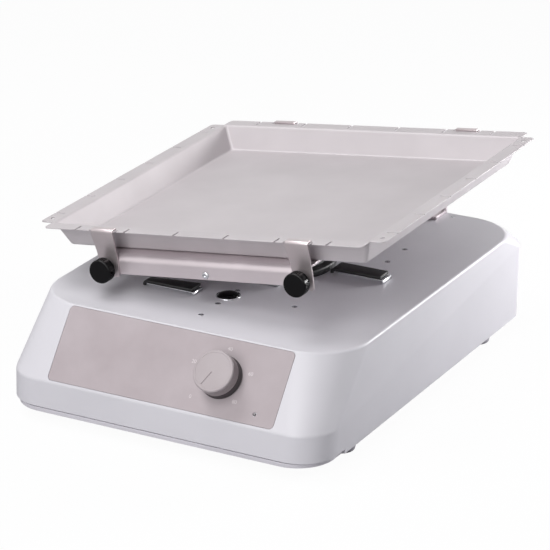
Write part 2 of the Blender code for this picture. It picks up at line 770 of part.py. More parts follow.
def make_foot(name, x, y):
    """A tapered rubber foot whose stem pushes into the base plate."""
    top = PLATE_BOTTOM_Z - GAP
    tip = PLATE_TOP_Z + FOOT_STEM_RISE
    bm = bmesh.new()
    add_turned(
        bm,
        (
            (FOOT_RECESS_RADIUS, FOOT_RECESS_DEPTH),
            (FOOT_RECESS_RADIUS, 0.0),
            (FOOT_TIP_RADIUS, 0.0),
            (FOOT_RADIUS, top),
            (FOOT_STEM_RADIUS, top),
            (FOOT_STEM_RADIUS, tip),
        ),
    )
    finish(name, bm, "black_rubber", location=(x, y, 0))


def make_chassis():
    """The steel plate under the top face, on welded posts that stand on the base plate."""
    bm = bmesh.new()
    outline = rounded_outline(
        CHASSIS_HALF_WIDTH,
        CHASSIS_FRONT_Y,
        CHASSIS_BACK_Y,
        CHASSIS_CORNER_RADIUS,
        CHASSIS_CORNER_RADIUS,
        SMALL_STEPS // 4,
    )
    add_prism(bm, outline, (CHASSIS_BOTTOM_Z, CHASSIS_TOP_Z), level)
    plate = finish("chassis_frame", bm, "grey_steel", smooth=False)
    bm = bmesh.new()
    low = CHASSIS_BOTTOM_Z - OVERRUN
    high = CHASSIS_TOP_Z + OVERRUN
    add_rod(bm, PLUG_STEM_RADIUS + OVERRUN, (0, PLUG_Y, low), (0, PLUG_Y, high))
    add_box(
        bm,
        (-LEVER_SLOT_HALF_X - OVERRUN, LEVER_Y - LEVER_SLOT_HALF_Y - OVERRUN, low),
        (LEVER_SLOT_HALF_X + OVERRUN, LEVER_Y + LEVER_SLOT_HALF_Y + OVERRUN, high),
    )
    combine(plate, helper("chassis_cutter", bm))
    bm = bmesh.new()
    for side in (-1, 1):
        for y in POST_YS:
            x = side * POST_X
            add_rod(bm, POST_RADIUS, (x, y, FLOOR_Z), (x, y, CHASSIS_BOTTOM_Z + GAP), SMALL_STEPS)
    combine(plate, helper("chassis_posts", bm), "UNION")


def make_plug():
    """The round access plug in the top face, and the ring around it."""
    bm = bmesh.new()
    add_turned(
        bm,
        (
            (PLUG_STEM_RADIUS, TOP_Z - PLUG_STEM_DEPTH),
            (PLUG_STEM_RADIUS, TOP_Z),
            (PLUG_RADIUS, TOP_Z),
            (PLUG_RADIUS, TOP_Z + PLUG_HEIGHT / 2),
            (PLUG_RADIUS - PLUG_HEIGHT / 2, TOP_Z + PLUG_HEIGHT),
        ),
    )
    finish("access_plug", bm, "black_plastic", location=(0, PLUG_Y, 0))
    bm = bmesh.new()
    inner = PLUG_RADIUS + GAP
    outer = inner + PLUG_RING_WIDTH
    add_turned(
        bm,
        (
            (inner, TOP_Z),
            (outer, TOP_Z),
            (outer, TOP_Z + PLUG_RING_HEIGHT / 2),
            (inner, TOP_Z + PLUG_RING_HEIGHT),
        ),
        hollow=True,
    )
    finish("plug_ring", bm, "housing_plastic", location=(0, PLUG_Y, 0))


def make_face_pieces():
    """Panel, regulator, its nut and the lamp, all on the sloping face."""
    face = PLACES["sloping_face"]
    bm = bmesh.new()
    outline = [
        (x, y - PANEL_TOP - PANEL_LENGTH / 2)
        for x, y in centred_outline(PANEL_HALF_WIDTH, PANEL_LENGTH / 2, PANEL_CORNER_RADIUS)
    ]
    add_prism(bm, outline, (-PANEL_THICKNESS, 0.0), level)
    panel = finish("control_panel", bm, "panel_film", parent=face, smooth=False)
    bm = bmesh.new()
    low = -PANEL_THICKNESS - OVERRUN
    for x, down, radius in (
        (KNOB_X, KNOB_DOWN, REGULATOR_BUSH_RADIUS + GAP),
        (LAMP_X, LAMP_DOWN, LAMP_RADIUS + GAP),
    ):
        add_rod(bm, radius, (x, -down, low), (x, -down, OVERRUN), SMALL_STEPS)
    combine(panel, helper("panel_cutter", bm, parent=face))
    centre = (KNOB_X, -KNOB_DOWN, 0)
    bore = REGULATOR_SHAFT_RADIUS + GAP
    inside = -COVER_WALL - GAP
    bush_top = REGULATOR_NUT_HEIGHT + GAP
    bm = bmesh.new()
    add_turned(
        bm,
        (
            (bore, inside - REGULATOR_DEPTH),
            (REGULATOR_RADIUS, inside - REGULATOR_DEPTH),
            (REGULATOR_RADIUS, inside),
            (REGULATOR_BUSH_RADIUS, inside),
            (REGULATOR_BUSH_RADIUS, bush_top),
            (bore, bush_top),
        ),
        hollow=True,
    )
    finish("speed_regulator", bm, "grey_steel", location=centre, parent=face)
    bm = bmesh.new()
    add_rings(bm, [circle(REGULATOR_NUT_RADIUS, z, 6) for z in (GAP, REGULATOR_NUT_HEIGHT)])
    nut = finish("regulator_nut", bm, "brass", location=centre, parent=face, smooth=False)
    bm = bmesh.new()
    hole = REGULATOR_BUSH_RADIUS + GAP
    add_rod(bm, hole, (KNOB_X, -KNOB_DOWN, -OVERRUN), (KNOB_X, -KNOB_DOWN, KNOB_HEIGHT))
    combine(nut, helper("nut_cutter", bm, parent=face))
    bm = bmesh.new()
    add_turned(
        bm,
        (
            (LAMP_FLANGE_RADIUS, inside - LAMP_BODY_DEPTH),
            (LAMP_FLANGE_RADIUS, inside),
            (LAMP_RADIUS, inside),
            (LAMP_RADIUS, 0.0),
            (LAMP_RADIUS / 2, LAMP_RISE),
        ),
        SMALL_STEPS,
    )
    finish("status_lamp", bm, "lamp_lens", location=(LAMP_X, -LAMP_DOWN, 0), parent=face)


def make_knob():
    """The ribbed speed knob and the regulator shaft that it turns."""
    axis = PLACES["knob_axis"]
    top = KNOB_HEIGHT
    rim = top - KNOB_EDGE
    skirt = GAP
    bm = bmesh.new()
    rings = [
        ribbed_circle(KNOB_SKIRT_RADIUS, skirt, KNOB_RIBS, 0.0),
        ribbed_circle(KNOB_SKIRT_RADIUS, skirt + KNOB_EDGE, KNOB_RIBS, 0.0),
        ribbed_circle(KNOB_RADIUS, skirt + KNOB_EDGE * 2, KNOB_RIBS, KNOB_RIB_DEPTH),
        ribbed_circle(KNOB_RADIUS, rim, KNOB_RIBS, KNOB_RIB_DEPTH),
        ribbed_circle(KNOB_RADIUS - KNOB_EDGE, top, KNOB_RIBS, 0.0),
    ]
    add_rings(bm, rings)
    knob = finish("speed_knob", bm, "knob_plastic", parent=axis)
    bm = bmesh.new()
    add_rod(bm, KNOB_HOLLOW_RADIUS, (0, 0, -OVERRUN), (0, 0, KNOB_HOLLOW_DEPTH))
    bore = REGULATOR_SHAFT_RADIUS + GAP
    add_rod(bm, bore, (0, 0, KNOB_HOLLOW_DEPTH - GAP), (0, 0, KNOB_BORE_DEPTH), SMALL_STEPS)
    add_box(
        bm,
        (-KNOB_GROOVE_WIDTH / 2, KNOB_GROOVE_START, top - KNOB_GROOVE_DEPTH),
        (KNOB_GROOVE_WIDTH / 2, KNOB_SKIRT_RADIUS, top + OVERRUN),
    )
    combine(knob, helper("knob_cutter", bm, parent=axis))
    bm = bmesh.new()
    low = -COVER_WALL - REGULATOR_DEPTH
    high = KNOB_BORE_DEPTH - GAP
    add_rod(bm, REGULATOR_SHAFT_RADIUS, (0, 0, low), (0, 0, high), SMALL_STEPS)
    finish("regulator_shaft", bm, "grey_steel", parent=axis)


def arch_outline(foot_half_width, foot_height, half_width, centre_height, radius, steps=CORNER_STEPS):
    """An upright with a foot and a round head, as a bearing support has, from below."""
    points = [(foot_half_width, 0.0), (foot_half_width, foot_height), (half_width, foot_height)]
    for k in range(steps + 1):
        turn = math.pi * k / steps
        points.append((radius * math.cos(turn), centre_height + radius * math.sin(turn)))
    points += [(-half_width, foot_height), (-foot_half_width, foot_height), (-foot_half_width, 0.0)]
    return points


def make_supports():
    """Front pedestal, back support and their flanged bushes."""
    centre = PIVOT_Z - TOP_Z
    outline = arch_outline(
        PEDESTAL_FOOT_HALF_WIDTH, PEDESTAL_FOOT_HEIGHT, PEDESTAL_HALF_WIDTH, centre, PEDESTAL_TOP_RADIUS
    )
    bm = bmesh.new()
    front = PEDESTAL_Y - PEDESTAL_THICKNESS / 2
    back = PEDESTAL_Y + PEDESTAL_THICKNESS / 2
    add_prism(bm, [(u, v + TOP_Z) for u, v in outline], (front, back), upright)
    pedestal = finish("front_pedestal", bm, "cast_aluminium", smooth=False)
    bm = bmesh.new()
    add_rod(bm, BUSH_RADIUS + GAP, (0, front - OVERRUN, PIVOT_Z), (0, back + OVERRUN, PIVOT_Z))
    combine(pedestal, helper("pedestal_cutter", bm))
    make_bush("front_bush", front, back)
    bm = bmesh.new()
    outline = arch_outline(
        SUPPORT_HALF_WIDTH, SUPPORT_STRAIGHT_HEIGHT, PEDESTAL_HALF_WIDTH * 2, centre, PEDESTAL_TOP_RADIUS
    )
    plate_front = SUPPORT_FACE_Y - SUPPORT_THICKNESS
    add_prism(bm, [(u, v + TOP_Z) for u, v in outline], (plate_front, SUPPORT_FACE_Y), upright)
    support = finish("back_support", bm, "carrier_paint", smooth=False)
    bm = bmesh.new()
    low_y = SUPPORT_FACE_Y - SUPPORT_FOOT_LENGTH
    high_z = TOP_Z + SUPPORT_THICKNESS
    add_box(bm, (-SUPPORT_HALF_WIDTH, low_y, TOP_Z), (SUPPORT_HALF_WIDTH, plate_front + GAP, high_z))
    boss_front = SUPPORT_FACE_Y - SUPPORT_BOSS_LENGTH
    add_rod(bm, PEDESTAL_TOP_RADIUS, (0, boss_front, PIVOT_Z), (0, plate_front + GAP, PIVOT_Z))
    combine(support, helper("support_foot", bm), "UNION")
    bm = bmesh.new()
    add_rod(bm, BUSH_RADIUS + GAP, (0, boss_front - OVERRUN, PIVOT_Z), (0, SUPPORT_FACE_Y + OVERRUN, PIVOT_Z))
    combine(support, helper("support_cutter", bm))
    make_bush("back_bush", boss_front, SUPPORT_FACE_Y)


def make_bush(name, front, back):
    """A bronze bush with a flange in front, pressed into a support."""
    bore = SHAFT_RADIUS + GAP
    stations = (
        (bore, back),
        (BUSH_RADIUS, back),
        (BUSH_RADIUS, front - GAP),
        (BUSH_FLANGE_RADIUS, front - GAP),
        (BUSH_FLANGE_RADIUS, front - GAP - BUSH_FLANGE),
        (bore, front - GAP - BUSH_FLANGE),
    )
    bm = bmesh.new()
    add_loop(bm, [along_y(circle(radius, y), PIVOT_Z) for radius, y in stations])
    finish(name, bm, "brass")


def make_boot():
    """The black rubber gaiter and its flat rim around the lever's slot."""
    bm = bmesh.new()
    rim_top = TOP_Z + BOOT_RIM_HEIGHT
    rise = BOOT_TOP_Z - rim_top
    outer = [
        (BOOT_RADIUS, TOP_Z),
        (BOOT_RADIUS, rim_top - BOOT_EDGE),
        (BOOT_RADIUS - BOOT_EDGE, rim_top),
        (BOOT_FOOT_RADIUS, rim_top),
    ]
    steps = BOOT_FOLDS * 2
    for k in range(1, steps + 1):
        share = k / steps
        radius = BOOT_FOOT_RADIUS + (BOOT_MOUTH_RADIUS + BOOT_WALL - BOOT_FOOT_RADIUS) * share
        fold = BOOT_FOLD_DEPTH if k % 2 and k < steps else 0.0
        outer.append((radius + fold, rim_top + rise * share))
    inner = [(radius - BOOT_WALL, height) for radius, height in reversed(outer[4:])]
    inner.append((BOOT_FOOT_RADIUS - BOOT_WALL, rim_top - BOOT_EDGE))
    inner.append((BOOT_FOOT_RADIUS - BOOT_WALL, TOP_Z))
    add_turned(bm, outer + inner, ROUND_STEPS + SMALL_STEPS // 2, hollow=True)
    finish("lever_gaiter", bm, "black_rubber", location=(0, LEVER_Y, 0))


def make_strip(name, end_x, y):
    """A leaf strip whose ends turn down to the top face, with its rubber pad."""
    pad_top = HOUSING_HEIGHT + PAD_TOP_RISE
    pad_low = pad_top - PAD_THICKNESS
    leaf_top = pad_low - GAP
    leaf_low = leaf_top - LEAF_THICKNESS
    half = STRIP_WIDTH / 2
    start_x = end_x - STRIP_LENGTH
    outline = [
        (u + (start_x + end_x) / 2, v + y)
        for u, v in centred_outline(STRIP_LENGTH / 2, half, PAD_THICKNESS)
    ]
    bm = bmesh.new()
    add_prism(bm, outline, (pad_low, pad_top), level)
    finish(f"{name}_pad", bm, "black_rubber")
    tip = end_x + LEAF_OVERHANG
    bend = tip - LEAF_THICKNESS
    outline = (
        (start_x, TOP_Z),
        (start_x + LEAF_THICKNESS, TOP_Z),
        (start_x + LEAF_THICKNESS, leaf_low),
        (bend, leaf_low),
        (bend, TOP_Z),
        (tip, TOP_Z),
        (tip, leaf_top - LEAF_THICKNESS / 2),
        (tip - LEAF_THICKNESS / 2, leaf_top),
        (start_x, leaf_top),
    )
    reach = half + LEAF_MARGIN
    bm = bmesh.new()
    add_prism(bm, outline, (y - reach, y + reach), upright)
    finish(f"{name}_leaf", bm, "bright_steel", smooth=False)


def make_carrier():
    """The folded sheet platform, in the frame of the rocking axis."""
    axis = PLACES["rocking_axis"]
    front = CARRIER_FRONT_Y
    back = CARRIER_BACK_Y
    top = CARRIER_TOP_RISE
    outer = [(front, -CARRIER_FLANGE_DROP)]
    outer += bend_points(front + CARRIER_BEND, top - CARRIER_BEND, CARRIER_BEND, 180, 90)
    outer += bend_points(back - CARRIER_BEND, top - CARRIER_BEND, CARRIER_BEND, 90, 0)
    outer += [(back, -CARRIER_FLANGE_DROP)]
    inside = CARRIER_BEND - CARRIER_SHEET
    inner = [(back - CARRIER_SHEET, -CARRIER_FLANGE_DROP)]
    inner += bend_points(back - CARRIER_BEND, top - CARRIER_BEND, inside, 0, 90)
    inner += bend_points(front + CARRIER_BEND, top - CARRIER_BEND, inside, 90, 180)
    inner += [(front + CARRIER_SHEET, -CARRIER_FLANGE_DROP)]
    bm = bmesh.new()
    add_prism(bm, outer + inner, (-CARRIER_HALF_WIDTH, CARRIER_HALF_WIDTH), sideways)
    carrier = finish("platform_carrier", bm, "carrier_paint", parent=axis)
    bm = bmesh.new()
    cutter = bmesh.new()
    for end in (-1, 1):
        inner = end * (CARRIER_HALF_DEPTH - CARRIER_SHEET) + TRAY_Y
        outer = end * (CARRIER_HALF_DEPTH + OVERRUN) + TRAY_Y
        joined = inner + end * GAP
        deep = inner - end * RIVET_NUT_LENGTH
        past = deep - end * OVERRUN
        hole = END_SCREW_RADIUS + GAP
        add_rod(cutter, hole, (0, inner - end * OVERRUN, 0), (0, outer, 0), SMALL_STEPS)
        for side in (-1, 1):
            x = side * CLIP_X
            add_rod(bm, RIVET_NUT_RADIUS, (x, joined, THUMB_RISE), (x, deep, THUMB_RISE), SMALL_STEPS)
            bore = THUMB_STEM_RADIUS + GAP
            add_rod(cutter, bore, (x, past, THUMB_RISE), (x, outer, THUMB_RISE), SMALL_STEPS)
    combine(carrier, helper("rivet_nuts", bm, parent=axis), "UNION")
    combine(carrier, helper("carrier_cutter", cutter, parent=axis))


def bend_points(u, v, radius, start, end, steps=4):
    """Points of a bend about (u, v), between two angles in degrees."""
    turns = [math.radians(start + (end - start) * k / steps) for k in range(steps + 1)]
    return [(u + radius * math.cos(t), v + radius * math.sin(t)) for t in turns]


def make_rocking_shaft():
    """The pivot shaft, its end screws and the saddles that carry the platform on it."""
    axis = PLACES["rocking_axis"]
    front = CARRIER_FRONT_Y + CARRIER_SHEET + GAP
    back = CARRIER_BACK_Y - CARRIER_SHEET - GAP
    bm = bmesh.new()
    add_rod(bm, SHAFT_RADIUS, (0, front, 0), (0, back, 0))
    shaft = finish("pivot_shaft", bm, "bright_steel", parent=axis)
    bm = bmesh.new()
    hole = END_SCREW_RADIUS + GAP
    depth = END_SCREW_DEPTH + GAP
    add_rod(bm, hole, (0, front - OVERRUN, 0), (0, front + depth, 0), SMALL_STEPS)
    add_rod(bm, hole, (0, back - depth, 0), (0, back + OVERRUN, 0), SMALL_STEPS)
    combine(shaft, helper("shaft_cutter", bm, parent=axis))
    make_shaft_screw("shaft_screw_front", CARRIER_FRONT_Y, 1)
    make_shaft_screw("shaft_screw_back", CARRIER_BACK_Y, -1)
    for name, y in zip(("saddle_front", "saddle_back"), SADDLE_YS):
        near = y - SADDLE_LENGTH / 2
        far = y + SADDLE_LENGTH / 2
        top = CARRIER_UNDERSIDE - GAP
        bm = bmesh.new()
        add_box(bm, (-SADDLE_HALF_WIDTH, near, -SADDLE_DROP), (SADDLE_HALF_WIDTH, far, top))
        saddle = finish(name, bm, "cast_aluminium", parent=axis, smooth=False)
        bm = bmesh.new()
        add_rod(bm, SHAFT_RADIUS + GAP, (0, near - OVERRUN, 0), (0, far + OVERRUN, 0))
        combine(saddle, helper(f"{name}_bore", bm, parent=axis))


def make_shaft_screw(name, outside, sign):
    """A screw through a platform flange into the shaft's end."""
    seat = outside - sign * GAP
    face = seat - sign * END_SCREW_HEAD_HEIGHT
    deep = outside + sign * (CARRIER_SHEET + END_SCREW_DEPTH)
    stations = (
        (END_SCREW_RADIUS, deep),
        (END_SCREW_RADIUS, seat),
        (END_SCREW_HEAD_RADIUS, seat),
        (END_SCREW_HEAD_RADIUS, (seat + face) / 2),
        (END_SCREW_HEAD_RADIUS * 2 / 3, face),
    )
    bm = bmesh.new()
    add_rings(bm, [along_y(circle(radius, y, SMALL_STEPS)) for radius, y in stations])
    finish(name, bm, "bright_steel", parent=PLACES["rocking_axis"])


def make_lever():
    """The forked lever that hangs from the shaft; the crank roller works in its fork."""
    axis = PLACES["rocking_axis"]
    slot_half = ROLLER_RADIUS + FORK_PLAY
    fork_half = slot_half + FORK_TINE
    fork_top = CRANK_THROW + ROLLER_RADIUS + FORK_UPPER_REACH - CRANK_DROP
    slot_top = fork_top - FORK_TINE
    fork_low = -CRANK_DROP - CRANK_THROW - FORK_LOWER_REACH / 2
    half = LEVER_HALF_WIDTH
    outline = [(half, fork_top + FORK_TINE), (fork_half, fork_top), (fork_half, fork_low)]
    outline += [(slot_half, fork_low), (slot_half, slot_top), (-slot_half, slot_top)]
    outline += [(-slot_half, fork_low), (-fork_half, fork_low), (-fork_half, fork_top)]
    outline += [(-half, fork_top + FORK_TINE)]
    shoulder = math.sqrt(LEVER_HUB_RADIUS ** 2 - half ** 2)
    start = math.degrees(math.atan2(-shoulder, -half)) % 360
    end = math.degrees(math.atan2(-shoulder, half))
    outline += bend_points(0, 0, LEVER_HUB_RADIUS, start, end, SMALL_STEPS)
    bm = bmesh.new()
    add_prism(bm, outline, (LEVER_FRONT_Y, LEVER_BACK_Y), upright)
    lever = finish("rocking_lever", bm, "grey_steel", parent=axis, smooth=False)
    bm = bmesh.new()
    near = (0, LEVER_FRONT_Y - OVERRUN, 0)
    add_rod(bm, SHAFT_RADIUS + GAP, near, (0, LEVER_BACK_Y + OVERRUN, 0))
    combine(lever, helper("lever_cutter", bm, parent=axis))


def tray_ring(half_width, half_depth, radius, height):
    """One rounded ring of the tray, about its own middle."""
    outline = centred_outline(half_width, half_depth, radius, CORNER_STEPS // 2)
    return [(x, y + TRAY_Y, height) for x, y in outline]


def make_tray():
    """The pressed tray: floor, leaning walls and a flat rim with slots and corner tabs."""
    axis = PLACES["rocking_axis"]
    floor = TRAY_UNDERSIDE
    rim = TRAY_RIM_RISE - TRAY_SHEET
    bend = TRAY_FLOOR_BEND
    wall_width = TRAY_HALF_WIDTH - TRAY_RIM_WIDTH
    wall_depth = TRAY_HALF_DEPTH - TRAY_RIM_WIDTH
    rings = [
        tray_ring(TRAY_HALF_WIDTH, TRAY_HALF_DEPTH, TRAY_RIM_CORNER_RADIUS, rim),
        tray_ring(wall_width, wall_depth, TRAY_CORNER_RADIUS, rim),
        tray_ring(TRAY_FLOOR_HALF_WIDTH, TRAY_FLOOR_HALF_DEPTH, TRAY_CORNER_RADIUS, floor + bend / 2),
        tray_ring(TRAY_FLOOR_HALF_WIDTH - bend, TRAY_FLOOR_HALF_DEPTH - bend, TRAY_CORNER_RADIUS, floor),
    ]
    bm = bmesh.new()
    made = add_rings(bm, rings, caps=False)
    bm.faces.new(made[-1])
    for face in bm.faces:
        face.normal_update()
    tray = finish("tray", bm, "tray_steel", parent=axis)
    face_up(tray)
    thick = tray.modifiers.new("sheet", "SOLIDIFY")
    thick.thickness = TRAY_SHEET
    thick.offset = 1.0
    thick.use_even_offset = True
    combine(tray, tray_cutter(axis))


def face_up(made):
    """Turn an open sheet's faces so that its floor looks up."""
    bm = bmesh.new()
    bm.from_mesh(made.data)
    bm.normal_update()
    largest = max(bm.faces, key=lambda face: face.calc_area())
    if largest.normal.z < 0:
        bmesh.ops.reverse_faces(bm, faces=bm.faces)
    bm.to_mesh(made.data)
    bm.free()


def tray_cutter(axis):
    """Slots across the rim, notches beside the clips and at the corners, and corner holes."""
    bm = bmesh.new()
    low = TRAY_RIM_RISE - TRAY_SHEET - OVERRUN
    high = TRAY_RIM_RISE + OVERRUN
    half = NOTCH_WIDTH / 2
    for k in range(NOTCH_COUNT):
        place = k - (NOTCH_COUNT - 1) / 2
        for side in (-1, 1):
            x = place * NOTCH_PITCH_X
            ends = sorted((side * (TRAY_HALF_DEPTH - NOTCH_DEPTH), side * (TRAY_HALF_DEPTH + OVERRUN)))
            add_box(bm, (x - half, ends[0] + TRAY_Y, low), (x + half, ends[1] + TRAY_Y, high))
            y = place * NOTCH_PITCH_Y + TRAY_Y
            ends = sorted((side * (TRAY_HALF_WIDTH - NOTCH_DEPTH), side * (TRAY_HALF_WIDTH + OVERRUN)))
            add_box(bm, (ends[0], y - half, low), (ends[1], y + half, high))
    for side in (-1, 1):
        for end in (-1, 1):
            ends = sorted((end * (TRAY_HALF_DEPTH - CLIP_NOTCH_DEPTH), end * (TRAY_HALF_DEPTH + OVERRUN)))
            for offset in (-CLIP_NOTCH_SPACE, CLIP_NOTCH_SPACE):
                x = side * CLIP_X + offset
                add_box(bm, (x - half, ends[0] + TRAY_Y, low), (x + half, ends[1] + TRAY_Y, high))
            corner_x = side * (TRAY_HALF_WIDTH - CORNER_HOLE_INSET)
            corner_y = end * (TRAY_HALF_DEPTH - CORNER_NOTCH_DEPTH - CORNER_HOLE_SETBACK) + TRAY_Y
            add_rod(bm, CORNER_HOLE_RADIUS, (corner_x, corner_y, low), (corner_x, corner_y, high), SMALL_STEPS)
            xs = sorted((side * (TRAY_HALF_WIDTH - CORNER_NOTCH_LENGTH), side * (TRAY_HALF_WIDTH + OVERRUN)))
            ys = sorted((end * (TRAY_HALF_DEPTH - CORNER_NOTCH_DEPTH), end * (TRAY_HALF_DEPTH + OVERRUN)))
            add_box(bm, (xs[0], ys[0] + TRAY_Y, low), (xs[1], ys[1] + TRAY_Y, high))
    return helper("tray_cutter", bm, parent=axis)


def clip_profile():
    """Middle line of a clip in (outward distance, height), from its hook down to its foot."""
    hook_z = TRAY_RIM_RISE + GAP + CLIP_SHEET / 2
    outside = TRAY_HALF_DEPTH + GAP + CLIP_SHEET / 2
    flange = CARRIER_HALF_DEPTH + GAP + CLIP_SHEET / 2
    return (
        (TRAY_HALF_DEPTH - CLIP_HOOK_LENGTH, hook_z),
        (outside - CLIP_SHEET / 2, hook_z),
        (outside, hook_z - CLIP_SHEET / 2),
        (outside, TRAY_RIM_RISE - TRAY_SHEET - CLIP_SHEET),
        (flange, CLIP_LEAN_START),
        (flange, -CLIP_FOOT_DROP),
    )


def offset_line(points, distance):
    """Move a bent line sideways by a distance, mitred at its corners."""
    moved = []
    for k, (u, v) in enumerate(points):
        before = points[max(k - 1, 0)]
        after = points[min(k + 1, len(points) - 1)]
        a = Vector((u - before[0], v - before[1])) if k else Vector((after[0] - u, after[1] - v))
        b = Vector((after[0] - u, after[1] - v)) if k < len(points) - 1 else a
        a.normalize()
        b.normalize()
        side = Vector((-a.y - b.y, a.x + b.x)).normalized()
        reach = distance / max(side.dot(Vector((-a.y, a.x))), 0.5)
        moved.append((u + side.x * reach, v + side.y * reach))
    return moved


def make_clips():
    """Four sheet clips, each with the knurled thumb screw that holds it."""
    line = clip_profile()
    sides = offset_line(line, CLIP_SHEET / 2) + list(reversed(offset_line(line, -CLIP_SHEET / 2)))
    top = TRAY_RIM_RISE
    foot = -CLIP_FOOT_DROP
    for end, end_name in ((-1, "front"), (1, "back")):
        for side, side_name in ((-1, "left"), (1, "right")):
            name = f"{end_name}_{side_name}"
            axis = PLACES["rocking_axis"]
            bm = bmesh.new()
            rings = []
            for hand in (-1, 1):
                ring = []
                for out, height in sides:
                    share = min(max((height - foot) / (top - foot), 0.0), 1.0)
                    width = CLIP_FOOT_WIDTH + (CLIP_TOP_WIDTH - CLIP_FOOT_WIDTH) * share
                    ring.append((side * CLIP_X + hand * width / 2, end * out + TRAY_Y, height))
                rings.append(ring)
            add_rings(bm, rings)
            clip = finish(f"clip_{name}", bm, "clip_steel", parent=axis, smooth=False)
            bm = bmesh.new()
            seat = end * (CARRIER_HALF_DEPTH + GAP) + TRAY_Y
            far = seat + end * (CLIP_SHEET + OVERRUN)
            x = side * CLIP_X
            hole = THUMB_STEM_RADIUS + GAP
            add_rod(bm, hole, (x, seat - end * OVERRUN, THUMB_RISE), (x, far, THUMB_RISE), SMALL_STEPS)
            combine(clip, helper(f"clip_cutter_{name}", bm, parent=axis))
            make_thumb_screw(f"thumb_screw_{name}", PLACES[f"thumb_axis_{name}"], end)


def make_thumb_screw(name, axis, end):
    """A knurled black head on a collar and a stem; its own Z axis points away from the platform."""
    seat = CLIP_SHEET + GAP * 2
    base = seat + THUMB_COLLAR_LENGTH
    bm = bmesh.new()
    rings = [
        [(x, y, -THUMB_STEM_REACH) for x, y, z in ribbed_circle(THUMB_STEM_RADIUS, 0, THUMB_RIBS, 0.0)],
        ribbed_circle(THUMB_STEM_RADIUS, seat, THUMB_RIBS, 0.0),
        ribbed_circle(THUMB_COLLAR_RADIUS, seat, THUMB_RIBS, 0.0),
        ribbed_circle(THUMB_COLLAR_RADIUS, base, THUMB_RIBS, 0.0),
        ribbed_circle(THUMB_RADIUS - THUMB_EDGE, base, THUMB_RIBS, 0.0),
        ribbed_circle(THUMB_RADIUS, base + THUMB_EDGE, THUMB_RIBS, THUMB_RIB_DEPTH),
        ribbed_circle(THUMB_RADIUS, base + THUMB_LENGTH - THUMB_EDGE, THUMB_RIBS, THUMB_RIB_DEPTH),
        ribbed_circle(THUMB_RADIUS - THUMB_EDGE, base + THUMB_LENGTH, THUMB_RIBS, 0.0),
    ]
    add_rings(bm, rings)
    finish(name, bm, "black_plastic", parent=axis)


def make_crank():
    """Crank disc, pin, roller, shaft and the large pulley, in the frame of the crank axis."""
    axis = PLACES["crank_axis"]
    bore = CRANK_SHAFT_RADIUS + GAP
    pin_x = CRANK_THROW * math.cos(TILT_LIMIT)
    pin_z = CRANK_THROW * math.sin(TILT_LIMIT)
    bm = bmesh.new()
    add_rod(bm, CRANK_DISC_RADIUS, (0, DISC_FRONT_Y, 0), (0, DISC_BACK_Y, 0))
    disc = finish("crank_disc", bm, "grey_steel", parent=axis)
    bm = bmesh.new()
    back = DISC_BACK_Y + OVERRUN
    middle = (DISC_FRONT_Y + DISC_BACK_Y) / 2
    add_rod(bm, CRANK_PIN_RADIUS, (pin_x, DISC_FRONT_Y - OVERRUN, pin_z), (pin_x, middle, pin_z), SMALL_STEPS)
    add_rod(bm, bore * 3 / 4, (0, middle + GAP, 0), (0, back, 0), SMALL_STEPS)
    combine(disc, helper("disc_cutter", bm, parent=axis))
    bm = bmesh.new()
    head_back = LEVER_FRONT_Y
    head_front = head_back - PIN_HEAD_HEIGHT
    stem = CRANK_PIN_RADIUS - GAP
    stations = (
        (stem, middle - GAP),
        (stem, head_back),
        (PIN_HEAD_RADIUS, head_back),
        (PIN_HEAD_RADIUS, head_front),
    )
    add_rings(bm, [along_y(circle(radius, y, SMALL_STEPS), pin_z, pin_x) for radius, y in stations])
    finish("crank_pin", bm, "bright_steel", parent=axis)
    bm = bmesh.new()
    near = LEVER_FRONT_Y + GAP
    far = LEVER_BACK_Y + GAP
    stations = ((CRANK_PIN_RADIUS, near), (ROLLER_RADIUS, near), (ROLLER_RADIUS, far), (CRANK_PIN_RADIUS, far))
    add_loop(bm, [along_y(circle(radius, y), pin_z, pin_x) for radius, y in stations])
    finish("crank_roller", bm, "bright_steel", parent=axis)
    bm = bmesh.new()
    stub = bore * 3 / 4 - GAP
    stations = (
        (stub, middle + GAP * 2),
        (stub, DISC_BACK_Y + GAP),
        (CRANK_SHAFT_RADIUS, DISC_BACK_Y + GAP),
        (CRANK_SHAFT_RADIUS, CRANK_SHAFT_END_Y),
    )
    add_rings(bm, [along_y(circle(radius, y)) for radius, y in stations])
    finish("crank_shaft", bm, "bright_steel", parent=axis)
    make_pulley("crank_pulley", CRANK_PULLEY_RADIUS, bore, axis, "cast_aluminium")


def make_pulley(name, radius, bore, axis, finish_name):
    """A flanged pulley on the Y axis."""
    front = PULLEY_FRONT_Y
    back = PULLEY_BACK_Y
    flange = radius + PULLEY_FLANGE_RISE
    stations = (
        (bore, front),
        (flange, front),
        (flange, front + PULLEY_FLANGE),
        (radius, front + PULLEY_FLANGE),
        (radius, back - PULLEY_FLANGE),
        (flange, back - PULLEY_FLANGE),
        (flange, back),
        (bore, back),
    )
    bm = bmesh.new()
    add_loop(bm, [along_y(circle(radius, y)) for radius, y in stations])
    return finish(name, bm, finish_name, parent=axis)


